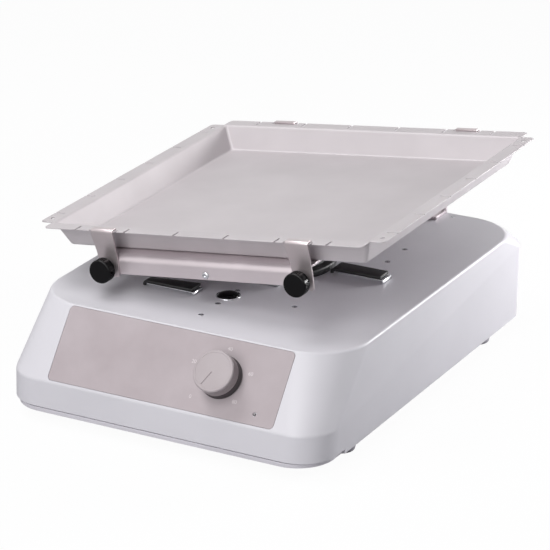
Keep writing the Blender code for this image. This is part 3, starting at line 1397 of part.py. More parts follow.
def make_crank_supports():
    """Two bearing blocks on the base plate and the ball bearings in them."""
    top = CRANK_Z
    foot = BLOCK_HALF_WIDTH + BEARING_RADIUS / 2
    foot_top = FLOOR_Z + BEARING_RADIUS / 2
    outline = [(foot, FLOOR_Z), (foot, foot_top), (BLOCK_HALF_WIDTH, foot_top)]
    outline += bend_points(0, top, BLOCK_HALF_WIDTH, 0, 180, CORNER_STEPS * 2)
    outline += [(-BLOCK_HALF_WIDTH, foot_top), (-foot, foot_top), (-foot, FLOOR_Z)]
    bore = CRANK_SHAFT_RADIUS + GAP
    for name, front in (("front", FRONT_BLOCK_Y), ("back", BACK_BLOCK_Y)):
        back = front + BLOCK_THICKNESS
        bm = bmesh.new()
        add_prism(bm, outline, (front, back), upright)
        block = finish(f"crank_block_{name}", bm, "cast_aluminium", smooth=False)
        bm = bmesh.new()
        add_rod(bm, BEARING_RADIUS + GAP, (0, front - OVERRUN, CRANK_Z), (0, back + OVERRUN, CRANK_Z))
        combine(block, helper(f"block_cutter_{name}", bm))
        stations = ((bore, front), (BEARING_RADIUS, front), (BEARING_RADIUS, back), (bore, back))
        bm = bmesh.new()
        add_loop(bm, [along_y(circle(radius, y), CRANK_Z) for radius, y in stations])
        finish(f"crank_bearing_{name}", bm, "bright_steel")


def make_motor():
    """Bracket, geared motor, its shaft and the small pulley."""
    axis = PLACES["motor_axis"]
    front = BRACKET_FRONT_Y
    back = front + BRACKET_THICKNESS
    bm = bmesh.new()
    outline = (
        (front, FLOOR_Z),
        (back + BRACKET_FOOT_LENGTH, FLOOR_Z),
        (back + BRACKET_FOOT_LENGTH, FLOOR_Z + BRACKET_THICKNESS),
        (back, FLOOR_Z + BRACKET_THICKNESS),
        (back, MOTOR_Z + BRACKET_HALF_WIDTH),
        (front, MOTOR_Z + BRACKET_HALF_WIDTH),
    )
    add_prism(bm, outline, (MOTOR_X - BRACKET_HALF_WIDTH, MOTOR_X + BRACKET_HALF_WIDTH), sideways)
    bracket = finish("motor_bracket", bm, "grey_steel", smooth=False)
    bm = bmesh.new()
    hole = MOTOR_SHAFT_RADIUS * 2
    add_rod(bm, hole, (MOTOR_X, front - OVERRUN, MOTOR_Z), (MOTOR_X, back + OVERRUN, MOTOR_Z))
    combine(bracket, helper("bracket_cutter", bm))
    bm = bmesh.new()
    face = MOTOR_FRONT_Y
    bore = MOTOR_SHAFT_RADIUS + GAP
    gear_end = GEARBOX_END_Y
    end = gear_end + MOTOR_LENGTH
    stations = (
        (bore, face),
        (GEARBOX_RADIUS, face),
        (GEARBOX_RADIUS, gear_end),
        (MOTOR_RADIUS, gear_end),
        (MOTOR_RADIUS, end - PULLEY_WIDTH / 4),
        (MOTOR_RADIUS * 2 / 3, end),
        (bore, end),
    )
    add_loop(bm, [along_y(circle(radius, y), MOTOR_Z, MOTOR_X) for radius, y in stations])
    finish("gear_motor", bm, "grey_steel")
    pulley = make_pulley("motor_pulley", MOTOR_PULLEY_RADIUS, bore, axis, "brass")
    bm = bmesh.new()
    add_rod(bm, bore + GAP, (0, PULLEY_FRONT_Y, 0), (0, PULLEY_BACK_Y, 0))
    combine(pulley, helper("pulley_core", bm, parent=axis), "UNION")
    bm = bmesh.new()
    add_rod(bm, MOTOR_SHAFT_RADIUS, (0, PULLEY_BACK_Y - GAP, 0), (0, gear_end, 0), SMALL_STEPS)
    combine(pulley, helper("motor_shaft", bm, parent=axis), "UNION")


def belt_outline(clearance):
    """Closed line around both pulleys, this far out from their grooves."""
    span = Vector((MOTOR_X, MOTOR_Z - CRANK_Z))
    large = CRANK_PULLEY_RADIUS + clearance
    small = MOTOR_PULLEY_RADIUS + clearance
    heading = math.atan2(span.y, span.x)
    spread = math.acos((large - small) / span.length)
    points = []
    for k in range(ROUND_STEPS // 4 + 1):
        turn = heading - spread + 2 * spread * k / (ROUND_STEPS // 4)
        points.append((MOTOR_X + small * math.cos(turn), MOTOR_Z + small * math.sin(turn)))
    sweep = 2 * math.pi - 2 * spread
    for k in range(ROUND_STEPS + 1):
        turn = heading + spread + sweep * k / ROUND_STEPS
        points.append((large * math.cos(turn), CRANK_Z + large * math.sin(turn)))
    return points


def make_belt():
    """The drive belt, lying clear in both grooves."""
    front = PULLEY_FRONT_Y + PULLEY_FLANGE + GAP * 2
    back = PULLEY_BACK_Y - PULLEY_FLANGE - GAP * 2
    inner = belt_outline(GAP * 2)
    outer = belt_outline(GAP * 2 + BELT_THICKNESS)
    loops = [
        [(x, front, z) for x, z in inner],
        [(x, front, z) for x, z in outer],
        [(x, back, z) for x, z in outer],
        [(x, back, z) for x, z in inner],
    ]
    bm = bmesh.new()
    add_loop(bm, loops)
    finish("drive_belt", bm, "belt_rubber")


def make_electronics():
    """The control board with its capacitors, and the transformer."""
    bm = bmesh.new()
    left = BOARD_X - BOARD_WIDTH / 2
    near = BOARD_Y - BOARD_DEPTH / 2
    top = BOARD_Z + BOARD_THICKNESS
    add_box(bm, (left, near, BOARD_Z), (left + BOARD_WIDTH, near + BOARD_DEPTH, top))
    board = finish("control_board", bm, "board_green", smooth=False)
    bm = bmesh.new()
    for share in CAPACITOR_SHARES:
        x = left + BOARD_WIDTH * share
        add_rod(bm, CAPACITOR_RADIUS, (x, BOARD_Y, top - GAP), (x, BOARD_Y, top + CAPACITOR_HEIGHT))
    combine(board, helper("capacitors", bm), "UNION")
    half = TRANSFORMER_WIDTH / 2
    wide = half + COIL_MARGIN
    foot_top = FLOOR_Z + TRANSFORMER_FOOT
    core_top = FLOOR_Z + TRANSFORMER_HEIGHT
    outline = [(-wide, FLOOR_Z), (wide, FLOOR_Z), (wide, foot_top), (half, foot_top)]
    outline += [(half, core_top), (-half, core_top), (-half, foot_top), (-wide, foot_top)]
    near = TRANSFORMER_Y - TRANSFORMER_DEPTH / 2 + COIL_MARGIN
    far = TRANSFORMER_Y + TRANSFORMER_DEPTH / 2 - COIL_MARGIN
    bm = bmesh.new()
    add_prism(bm, [(u + TRANSFORMER_X, v) for u, v in outline], (near, far), upright)
    core = finish("transformer", bm, "grey_steel", smooth=False)
    bm = bmesh.new()
    coil = half - COIL_MARGIN
    low = (TRANSFORMER_X - coil, near - COIL_MARGIN, foot_top + COIL_MARGIN)
    add_box(bm, low, (TRANSFORMER_X + coil, far + COIL_MARGIN, core_top - COIL_MARGIN))
    combine(core, helper("transformer_coil", bm), "UNION")


def make_inlet():
    """The mains inlet in the back wall: a hollow socket with three pins."""
    half_w = INLET_BODY_WIDTH / 2
    half_h = INLET_BODY_HEIGHT / 2
    flange_face = BACK_Y + GAP + INLET_FLANGE
    inside = BACK_Y - INLET_DEPTH
    z = BACK_DEVICE_Z
    bm = bmesh.new()
    add_box(bm, (INLET_X - half_w, inside, z - half_h), (INLET_X + half_w, BACK_Y + GAP * 2, z + half_h))
    inlet = finish("power_inlet", bm, "black_plastic", smooth=False)
    bm = bmesh.new()
    outline = [(u + INLET_X, v + z) for u, v in centred_outline(
        INLET_FLANGE_WIDTH / 2, INLET_FLANGE_HEIGHT / 2, INLET_FLANGE)]
    add_prism(bm, outline, (BACK_Y + GAP, flange_face), upright)
    combine(inlet, helper("inlet_flange", bm), "UNION")
    bm = bmesh.new()
    socket_w = INLET_SOCKET_WIDTH / 2
    socket_h = INLET_SOCKET_HEIGHT / 2
    floor_y = flange_face - INLET_SOCKET_DEPTH
    low = (INLET_X - socket_w, floor_y, z - socket_h)
    add_box(bm, low, (INLET_X + socket_w, flange_face + OVERRUN, z + socket_h))
    combine(inlet, helper("inlet_cutter", bm))
    bm = bmesh.new()
    for k in (-1, 0, 1):
        x = INLET_X + k * INLET_PIN_PITCH
        pin_z = z + (INLET_PIN_HEIGHT / 2 if k == 0 else 0)
        half = INLET_PIN_WIDTH / 2
        tall = INLET_PIN_HEIGHT / 2
        start = floor_y - GAP
        add_box(bm, (x - half, start, pin_z - tall), (x + half, start + INLET_PIN_LENGTH, pin_z + tall))
    combine(inlet, helper("inlet_pins", bm), "UNION")


def make_switch():
    """The power switch: a frame in the back wall and a paddle that rocks in it."""
    half_w = SWITCH_BODY_WIDTH / 2
    half_h = SWITCH_BODY_HEIGHT / 2
    face = BACK_Y + GAP + SWITCH_FLANGE
    z = BACK_DEVICE_Z
    bm = bmesh.new()
    low = (SWITCH_X - half_w, BACK_Y - SWITCH_DEPTH, z - half_h)
    add_box(bm, low, (SWITCH_X + half_w, BACK_Y + GAP * 2, z + half_h))
    frame = finish("switch_frame", bm, "black_plastic", smooth=False)
    bm = bmesh.new()
    outline = [(u + SWITCH_X, v + z) for u, v in centred_outline(
        SWITCH_FLANGE_WIDTH / 2, SWITCH_FLANGE_HEIGHT / 2, SWITCH_FLANGE)]
    add_prism(bm, outline, (BACK_Y + GAP, face), upright)
    combine(frame, helper("switch_flange", bm), "UNION")
    bm = bmesh.new()
    pocket_w = SWITCH_POCKET_WIDTH / 2
    pocket_h = SWITCH_POCKET_HEIGHT / 2
    low = (SWITCH_X - pocket_w, face - SWITCH_POCKET_DEPTH, z - pocket_h)
    add_box(bm, low, (SWITCH_X + pocket_w, face + OVERRUN, z + pocket_h))
    combine(frame, helper("switch_cutter", bm))
    bm = bmesh.new()
    outline = (
        (-PADDLE_BACK, -PADDLE_HALF_HEIGHT / 2),
        (PADDLE_FACE - PADDLE_BACK, -PADDLE_HALF_HEIGHT),
        (PADDLE_FACE, -PADDLE_HALF_HEIGHT),
        (PADDLE_CROWN, 0.0),
        (PADDLE_FACE, PADDLE_HALF_HEIGHT),
        (PADDLE_FACE - PADDLE_BACK, PADDLE_HALF_HEIGHT),
        (-PADDLE_BACK, PADDLE_HALF_HEIGHT / 2),
    )
    width = pocket_w - PADDLE_CLEARANCE
    add_prism(bm, outline, (-width, width), sideways)
    finish("power_rocker", bm, "black_plastic", parent=PLACES["rocker_axis"], smooth=False)


def make_fuse():
    """The fuse holder beside the switch."""
    bm = bmesh.new()
    seat = BACK_Y + GAP
    stations = (
        (FUSE_BODY_RADIUS, BACK_Y - FUSE_BODY_DEPTH),
        (FUSE_BODY_RADIUS, seat),
        (FUSE_CAP_RADIUS, seat),
        (FUSE_CAP_RADIUS, seat + FUSE_CAP_LENGTH * 2 / 3),
        (FUSE_CAP_RADIUS * 3 / 4, seat + FUSE_CAP_LENGTH),
    )
    add_rings(bm, [along_y(circle(radius, y), BACK_DEVICE_Z, FUSE_X) for radius, y in stations])
    finish("fuse_holder", bm, "black_plastic")


def make_places():
    """Empties at the sloping face and at every axis that something turns about."""
    empty("bench_frame", (MIDDLE_X, MIDDLE_Y, 0))
    face = empty("sloping_face", (0, TOP_FRONT_Y, HOUSING_HEIGHT), (FACE_ANGLE, 0, 0))
    rocking = empty("rocking_axis", (0, 0, PIVOT_Z), (0, -TILT_LIMIT, 0))
    places = {
        "sloping_face": face,
        "rocking_axis": rocking,
        "knob_axis": empty("knob_axis", (KNOB_X, -KNOB_DOWN, 0), (0, 0, KNOB_REST_ANGLE), face),
        "crank_axis": empty("crank_axis", (0, 0, CRANK_Z)),
        "motor_axis": empty("motor_axis", (MOTOR_X, 0, MOTOR_Z)),
        "rocker_axis": empty(
            "rocker_axis",
            (SWITCH_X, BACK_Y + GAP + SWITCH_FLANGE - PADDLE_PIVOT_DEPTH, BACK_DEVICE_Z),
            (PADDLE_SWING, 0, 0),
        ),
    }
    for end, end_name in ((-1, "front"), (1, "back")):
        for side, side_name in ((-1, "left"), (1, "right")):
            name = f"thumb_axis_{end_name}_{side_name}"
            seat = (side * CLIP_X, end * (CARRIER_HALF_DEPTH + GAP / 2) + TRAY_Y, THUMB_RISE)
            places[name] = empty(name, seat, (-end * math.radians(90), 0, 0), rocking)
    return places


def build():
    """Make every piece of the shaker."""
    make_base()
    make_cover()
    make_chassis()
    make_plug()
    make_face_pieces()
    make_knob()
    make_supports()
    make_boot()
    make_strip("right_strip", RIGHT_STRIP_END_X, RIGHT_STRIP_Y)
    make_strip("left_strip", LEFT_STRIP_END_X, LEFT_STRIP_Y)
    make_carrier()
    make_rocking_shaft()
    make_lever()
    make_tray()
    make_clips()
    make_crank()
    make_crank_supports()
    make_motor()
    make_belt()
    make_electronics()
    make_inlet()
    make_switch()
    make_fuse()


clear_scene()
MATERIALS = make_materials()
PLACES = make_places()
build()
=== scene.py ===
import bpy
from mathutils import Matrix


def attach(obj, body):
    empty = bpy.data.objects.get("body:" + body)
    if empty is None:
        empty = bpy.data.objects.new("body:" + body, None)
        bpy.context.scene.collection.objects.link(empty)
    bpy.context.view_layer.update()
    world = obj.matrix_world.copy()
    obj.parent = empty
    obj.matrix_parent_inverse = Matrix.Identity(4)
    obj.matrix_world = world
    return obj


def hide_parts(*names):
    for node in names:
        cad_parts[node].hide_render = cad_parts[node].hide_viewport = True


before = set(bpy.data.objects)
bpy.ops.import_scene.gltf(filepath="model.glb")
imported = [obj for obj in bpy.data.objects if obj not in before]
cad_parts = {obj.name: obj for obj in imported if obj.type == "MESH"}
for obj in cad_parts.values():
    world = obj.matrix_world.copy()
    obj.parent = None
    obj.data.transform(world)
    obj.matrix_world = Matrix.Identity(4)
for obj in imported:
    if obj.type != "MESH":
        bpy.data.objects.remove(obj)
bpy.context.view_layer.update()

# Finished look of a laboratory rocking shaker: a moulded housing with a sloping control face, and a
# tray that a folded steel carrier rocks from side to side. Sizes and places of the object are in
# millimetres, measured from the housing's middle; the studio's camera and lamps are placed in metres.

import logging
import math
from dataclasses import dataclass
from enum import Enum
from typing import Any, Callable, Sequence

import bmesh
import bpy
from mathutils import Matrix, Vector

LOG = logging.getLogger("rocking_shaker")
MM = 0.001
GAP = 0.3
PAST = 2  # how far a cutter reaches beyond what it cuts
QUARTER = math.radians(90)


def metres(point: Sequence[float]) -> Vector:
    """Turn a place or size in millimetres into metres.

    Args:
        point: X, Y and Z in millimetres.

    Returns:
        The same in metres.
    """
    return Vector([c * MM for c in point])


def at(x: float, y: float, z: float) -> Matrix:
    """Make the matrix of a shift.

    Args:
        x: shift to the right, in millimetres.
        y: shift to the back.
        z: shift upwards.

    Returns:
        The matrix.
    """
    return Matrix.Translation(metres((x, y, z)))


# Sizes that several sub-assemblies share
HEIGHT = 95
TOP_FRONT_Y = -168
TOP_Z = HEIGHT + GAP
PIVOT_Z = 128.2
TRAY_Y = 37.5
CLIP_X = 97
CLIP_Z = 2.8

# Where the sub-assemblies sit: the housing's middle, the sloping face's top edge, the rocking axis
BENCH = at(4.5, -2.3, 0)
FACE = at(0, TOP_FRONT_Y, HEIGHT) @ Matrix.Rotation(math.atan2(57, 44.3), 4, "X")
ROCK = at(0, 0, PIVOT_Z) @ Matrix.Rotation(math.radians(-7), 4, "Y")
UPRIGHT = Matrix.Rotation(QUARTER, 4, "X")
BACKWARD = Matrix.Rotation(-QUARTER, 4, "X")


def srgb(code: str) -> tuple[float, float, float, float]:
    """Turn a colour as it is seen into the linear values that a shader works with.

    Args:
        code: hex colour such as "#d6d4da".

    Returns:
        Linear red, green and blue, with full opacity.
    """
    seen = [int(code[k:k + 2], 16) / 255 for k in (1, 3, 5)]
    red, green, blue = (c / 12.92 if c <= 0.04045 else ((c + 0.055) / 1.055) ** 2.4 for c in seen)
    return red, green, blue, 1.0


class Graph:
    """The node tree of a material or a world, built up from nothing."""

    def __init__(self, owner: bpy.types.Material | bpy.types.World) -> None:
        """Clear the owner's node tree.

        Args:
            owner: the material or world that it belongs to.
        """
        owner.use_nodes = True
        self.tree = owner.node_tree
        self.tree.nodes.clear()

    def add(
        self, kind: str, settings: dict[str | int, Any] | None = None,
        links: dict[str | int, bpy.types.NodeSocket] | None = None, output: str | int = 0
    ) -> bpy.types.NodeSocket | None:
        """Add one shader node with its settings and what feeds it.

        Args:
            kind: Blender's name for the node, without its first word ShaderNode.
            settings: node options and socket values by name or socket number.
            links: the socket that feeds each named or numbered input.
            output: the output that is wanted.

        Returns:
            That output, or nothing from a node that has none.
        """
        node = self.tree.nodes.new(f"ShaderNode{kind}")
        for key, value in (settings or {}).items():
            if isinstance(key, int) or key in node.inputs:
                node.inputs[key].default_value = value
            else:
                setattr(node, key, value)
        for key, source in (links or {}).items():
            self.tree.links.new(source, node.inputs[key])
        return node.outputs[output] if node.outputs else None


class Grain(Enum):
    """How a surface was made, which is what its relief looks like."""

    MOULDED = "spark-eroded mould skin"
    SPRAYED = "orange peel of sprayed or powder paint"
    BRUSHED = "straight satin lines of rolled and brushed sheet"
    TURNED = "fine rings left by the lathe"
    CAST = "uneven skin of a casting"
    RUBBER = "dull skin of moulded rubber"
    LAMINATED = "edges of stacked sheets"
    TRACKS = "tracks under lacquer"
    TOOTHED = "cross teeth of a timing belt"


@dataclass(frozen=True)
class Finish:
    """One material: its two close tones, its grain at real size, and its gloss.

    The two roughness values are those of the smoothest and dullest spots, and gleam is how strongly a
    plain surface reflects, 0.5 for most.
    """

    name: str
    slot: str
    tones: tuple[str, str]
    grain: Grain
    grain_mm: float
    relief_mm: float
    roughness: tuple[float, float]
    metallic: float = 0.0
    blotch_mm: float = 45.0
    coat: float = 0.0
    gleam: float = 0.5

    def relief(self, graph: Graph, place: bpy.types.NodeSocket) -> bpy.types.NodeSocket:
        """Add the nodes that draw the grain.

        Args:
            graph: the material's nodes.
            place: the Object coordinates.

        Returns:
            The grain's height from 0 to 1.
        """
        scale = 1.0 / (self.grain_mm * MM)
        links = {"Vector": place}
        if self.grain is Grain.MOULDED:
            return graph.add("TexVoronoi", {"feature": "SMOOTH_F1", "Scale": scale, "Smoothness": 0.6}, links)
        if self.grain in (Grain.TURNED, Grain.LAMINATED, Grain.TOOTHED):
            direction = "X" if self.grain is Grain.TOOTHED else "Y"
            settings = {"bands_direction": direction, "Scale": scale / 20, "Distortion": 0.4, "Detail": 1.0}
            return graph.add("TexWave", settings, links, 1)
        if self.grain is Grain.TRACKS:
            settings = {"Scale": scale, "Mortar Size": 0.06, "Brick Width": 0.9, "Row Height": 0.3}
            return graph.add("TexBrick", settings, links, 1)
        if self.grain is Grain.BRUSHED:
            links = {"Vector": graph.add("Mapping", {"Scale": (0.02, 1.0, 1.0)}, links)}
        detail, rough = {
            Grain.BRUSHED: (4.0, 0.6), Grain.SPRAYED: (2.0, 0.4), Grain.CAST: (5.0, 0.7),
            Grain.RUBBER: (6.0, 0.6)
        }[self.grain]
        return graph.add("TexNoise", {"Scale": scale, "Detail": detail, "Roughness": rough}, links)

    def material(self) -> bpy.types.Material:
        """Make the material, or find it where another piece has it already.

        Returns:
            The material, named for this finish.
        """
        known = bpy.data.materials.get(self.name)
        if known is not None:
            return known
        made = bpy.data.materials.new(self.name)
        graph = Graph(made)
        place = graph.add("TexCoord", output="Object")
        grain = self.relief(graph, place)
        blotches = {"Scale": 1.0 / (self.blotch_mm * MM), "Detail": 3.0, "Roughness": 0.55}
        cloud = graph.add("TexNoise", blotches, {"Vector": place})
        share = grain
        if self.grain not in (Grain.TRACKS, Grain.TOOTHED, Grain.LAMINATED):
            share = graph.add("MapRange", {"From Min": 0.3, "From Max": 0.7}, {"Value": cloud})
        tones = {"data_type": "RGBA", 6: srgb(self.tones[0]), 7: srgb(self.tones[1])}
        colour = graph.add("Mix", tones, {0: share}, 2)
        worn = graph.add("Math", {"operation": "MULTIPLY_ADD", 1: 0.5}, {0: cloud, 2: grain})
        span = {"From Max": 1.25, "To Min": self.roughness[0], "To Max": self.roughness[1]}
        rough = graph.add("MapRange", span, {"Value": worn})
        bump = graph.add("Bump", {"Strength": 1.0, "Distance": self.relief_mm * MM}, {"Height": grain})
        gloss = {
            "Metallic": self.metallic, "Specular IOR Level": self.gleam, "Coat Weight": self.coat,
            "Coat Roughness": 0.12
        }
        shaded = graph.add(
            "BsdfPrincipled", gloss, {"Base Color": colour, "Roughness": rough, "Normal": bump}
        )
        graph.add("OutputMaterial", None, {"Surface": shaded})
        return made


# Injection-moulded ABS, pale cool grey: a satin skin whose faint grain spreads every highlight
HOUSING_ABS = Finish(
    "moulded_abs_pale_grey", "housing_plastic", ("#d3d1d7", "#d8d6dc"), Grain.MOULDED, 0.9, 0.006,
    (0.36, 0.46), blotch_mm=90.0
)
# Reverse-printed polycarbonate film, warm grey: velvet-matt and slightly mottled
PANEL_FILM = Finish(
    "printed_polycarbonate_film", "panel_film", ("#aba0a4", "#b4aaae"), Grain.SPRAYED, 0.7, 0.010,
    (0.42, 0.55), blotch_mm=35.0
)
# Screen-printed ink on the film: paler than the film, dull
PALE_INK = Finish(
    "screen_printed_ink_pale", "panel_film", ("#d6ced1", "#dcd5d8"), Grain.SPRAYED, 0.4, 0.004, (0.5, 0.6)
)
# Moulded ABS of the knob, matched to the film: duller than the housing, with a visible fine grain
KNOB_ABS = Finish(
    "moulded_abs_warm_grey", "knob_plastic", ("#aca2a5", "#b4abae"), Grain.MOULDED, 0.7, 0.012, (0.38, 0.50)
)
# Painted shade: a dark ring at the knob's foot stands in for the shadow under the knob, not a darker moulding
KNOB_FOOT_PAINTED_SHADE = Finish(
    "painted_shade_knob_foot", "knob_plastic", ("#3c3639", "#443e41"), Grain.MOULDED, 0.7, 0.012,
    (0.36, 0.48)
)
# Powder-coated steel of the carrier: soft broad highlights on the folds and a slight orange peel
CARRIER_COAT = Finish(
    "powder_coated_steel_mauve", "carrier_paint", ("#c9bfc3", "#d0c6ca"), Grain.SPRAYED, 1.2, 0.012,
    (0.32, 0.42), 0.50
)
# Satin stainless strip of the clips: darker than the tray, with lines along the strip
CLIP_STEEL = Finish(
    "satin_stainless_strip", "clip_steel", ("#bcb2b4", "#c5bbbd"), Grain.BRUSHED, 0.5, 0.004, (0.30, 0.42),
    0.7
)
# Bead-blasted stainless sheet of the tray: nearly white, soft reflections, faint rolling lines
TRAY_STEEL = Finish(
    "blasted_stainless_sheet", "tray_steel", ("#c3bdc0", "#cbc5c8"), Grain.BRUSHED, 0.8, 0.004,
    (0.42, 0.54), 0.15, blotch_mm=70.0
)
# Moulded nitrile rubber: near black, a dull bloom over a fine skin
BLACK_RUBBER = Finish(
    "moulded_nitrile_rubber", "black_rubber", ("#0a090b", "#121013"), Grain.RUBBER, 0.8, 0.020,
    (0.42, 0.62), blotch_mm=12.0
)
# Grey rubber of the feet: dull, a little dusty
FOOT_RUBBER = Finish(
    "moulded_grey_rubber", "black_rubber", ("#a5a2aa", "#b0adb5"), Grain.RUBBER, 0.9, 0.025, (0.55, 0.75),
    blotch_mm=10.0
)
# Polished phenolic of the thumb screws and plug: black with sharp small glints
BLACK_PHENOLIC = Finish(
    "polished_phenolic_black", "black_plastic", ("#050405", "#09080a"), Grain.MOULDED, 0.8, 0.003,
    (0.14, 0.22), gleam=0.2
)
# Glass-filled nylon of the mains fittings: black, even, half-matt
BLACK_NYLON = Finish(
    "moulded_nylon_black", "black_plastic", ("#161518", "#1d1b1f"), Grain.MOULDED, 0.6, 0.012, (0.34, 0.46)
)
# Nickel-plated turned steel: bright, with lathe rings that draw its highlights out
TURNED_STEEL = Finish(
    "turned_nickel_steel", "bright_steel", ("#c6c6ca", "#d2d2d6"), Grain.TURNED, 0.5, 0.003, (0.16, 0.28),
    1.0
)
# Spring steel strip, ground bright: a clean mirror-like edge with faint lines
SPRING_STEEL = Finish(
    "ground_spring_steel", "bright_steel", ("#cfcfd3", "#dcdce0"), Grain.BRUSHED, 0.4, 0.003, (0.14, 0.24),
    1.0
)
# Hot-rolled and phosphated steel of the inner frame: grey, dull and clouded
DRIVE_STEEL = Finish(
    "phosphated_steel", "grey_steel", ("#83868c", "#94979d"), Grain.CAST, 1.5, 0.012, (0.36, 0.52), 0.9,
    blotch_mm=25.0
)
# Laminated transformer and motor steel: stacked edges show as fine lines
STACKED_STEEL = Finish(
    "stacked_sheet_steel", "grey_steel", ("#6f7278", "#8d9096"), Grain.LAMINATED, 1.6, 0.03, (0.40, 0.55),
    0.85
)
# Die-cast aluminium: pale grey with the uneven skin of the die
CAST_METAL = Finish(
    "die_cast_aluminium", "cast_aluminium", ("#a4a6a9", "#b1b3b6"), Grain.CAST, 1.4, 0.020, (0.36, 0.50),
    0.9, blotch_mm=18.0
)
# Painted underside tray: the housing's colour, sprayed over die-cast metal
BASE_COAT = Finish(
    "sprayed_base_pale_grey", "cast_aluminium", ("#cdcad1", "#d3d0d7"), Grain.SPRAYED, 1.1, 0.010,
    (0.36, 0.46), blotch_mm=60.0
)
# Turned sintered bronze of the bushes and nut: warm, half bright
BEARING_BRONZE = Finish(
    "turned_sintered_bronze", "brass", ("#b08d48", "#bd9a54"), Grain.TURNED, 0.5, 0.006, (0.26, 0.38), 0.9
)
# Lacquered circuit board: green with paler tracks
BOARD_LACQUER = Finish(
    "lacquered_circuit_board", "board_green", ("#2b5a3b", "#3f7550"), Grain.TRACKS, 9.0, 0.03, (0.30, 0.45)
)
# Tinted acrylic of the indicator: dark and glossy while the lamp is off
LAMP_ACRYLIC = Finish(
    "tinted_acrylic_lens", "lamp_lens", ("#6d676a", "#777174"), Grain.MOULDED, 0.5, 0.002, (0.08, 0.14),
    coat=0.6
)
# Neoprene timing belt: black with cross teeth that catch the light in turn
BELT_NEOPRENE = Finish(
    "toothed_neoprene_belt", "belt_rubber", ("#161517", "#252427"), Grain.TOOTHED, 3.0, 0.10, (0.55, 0.72)
)


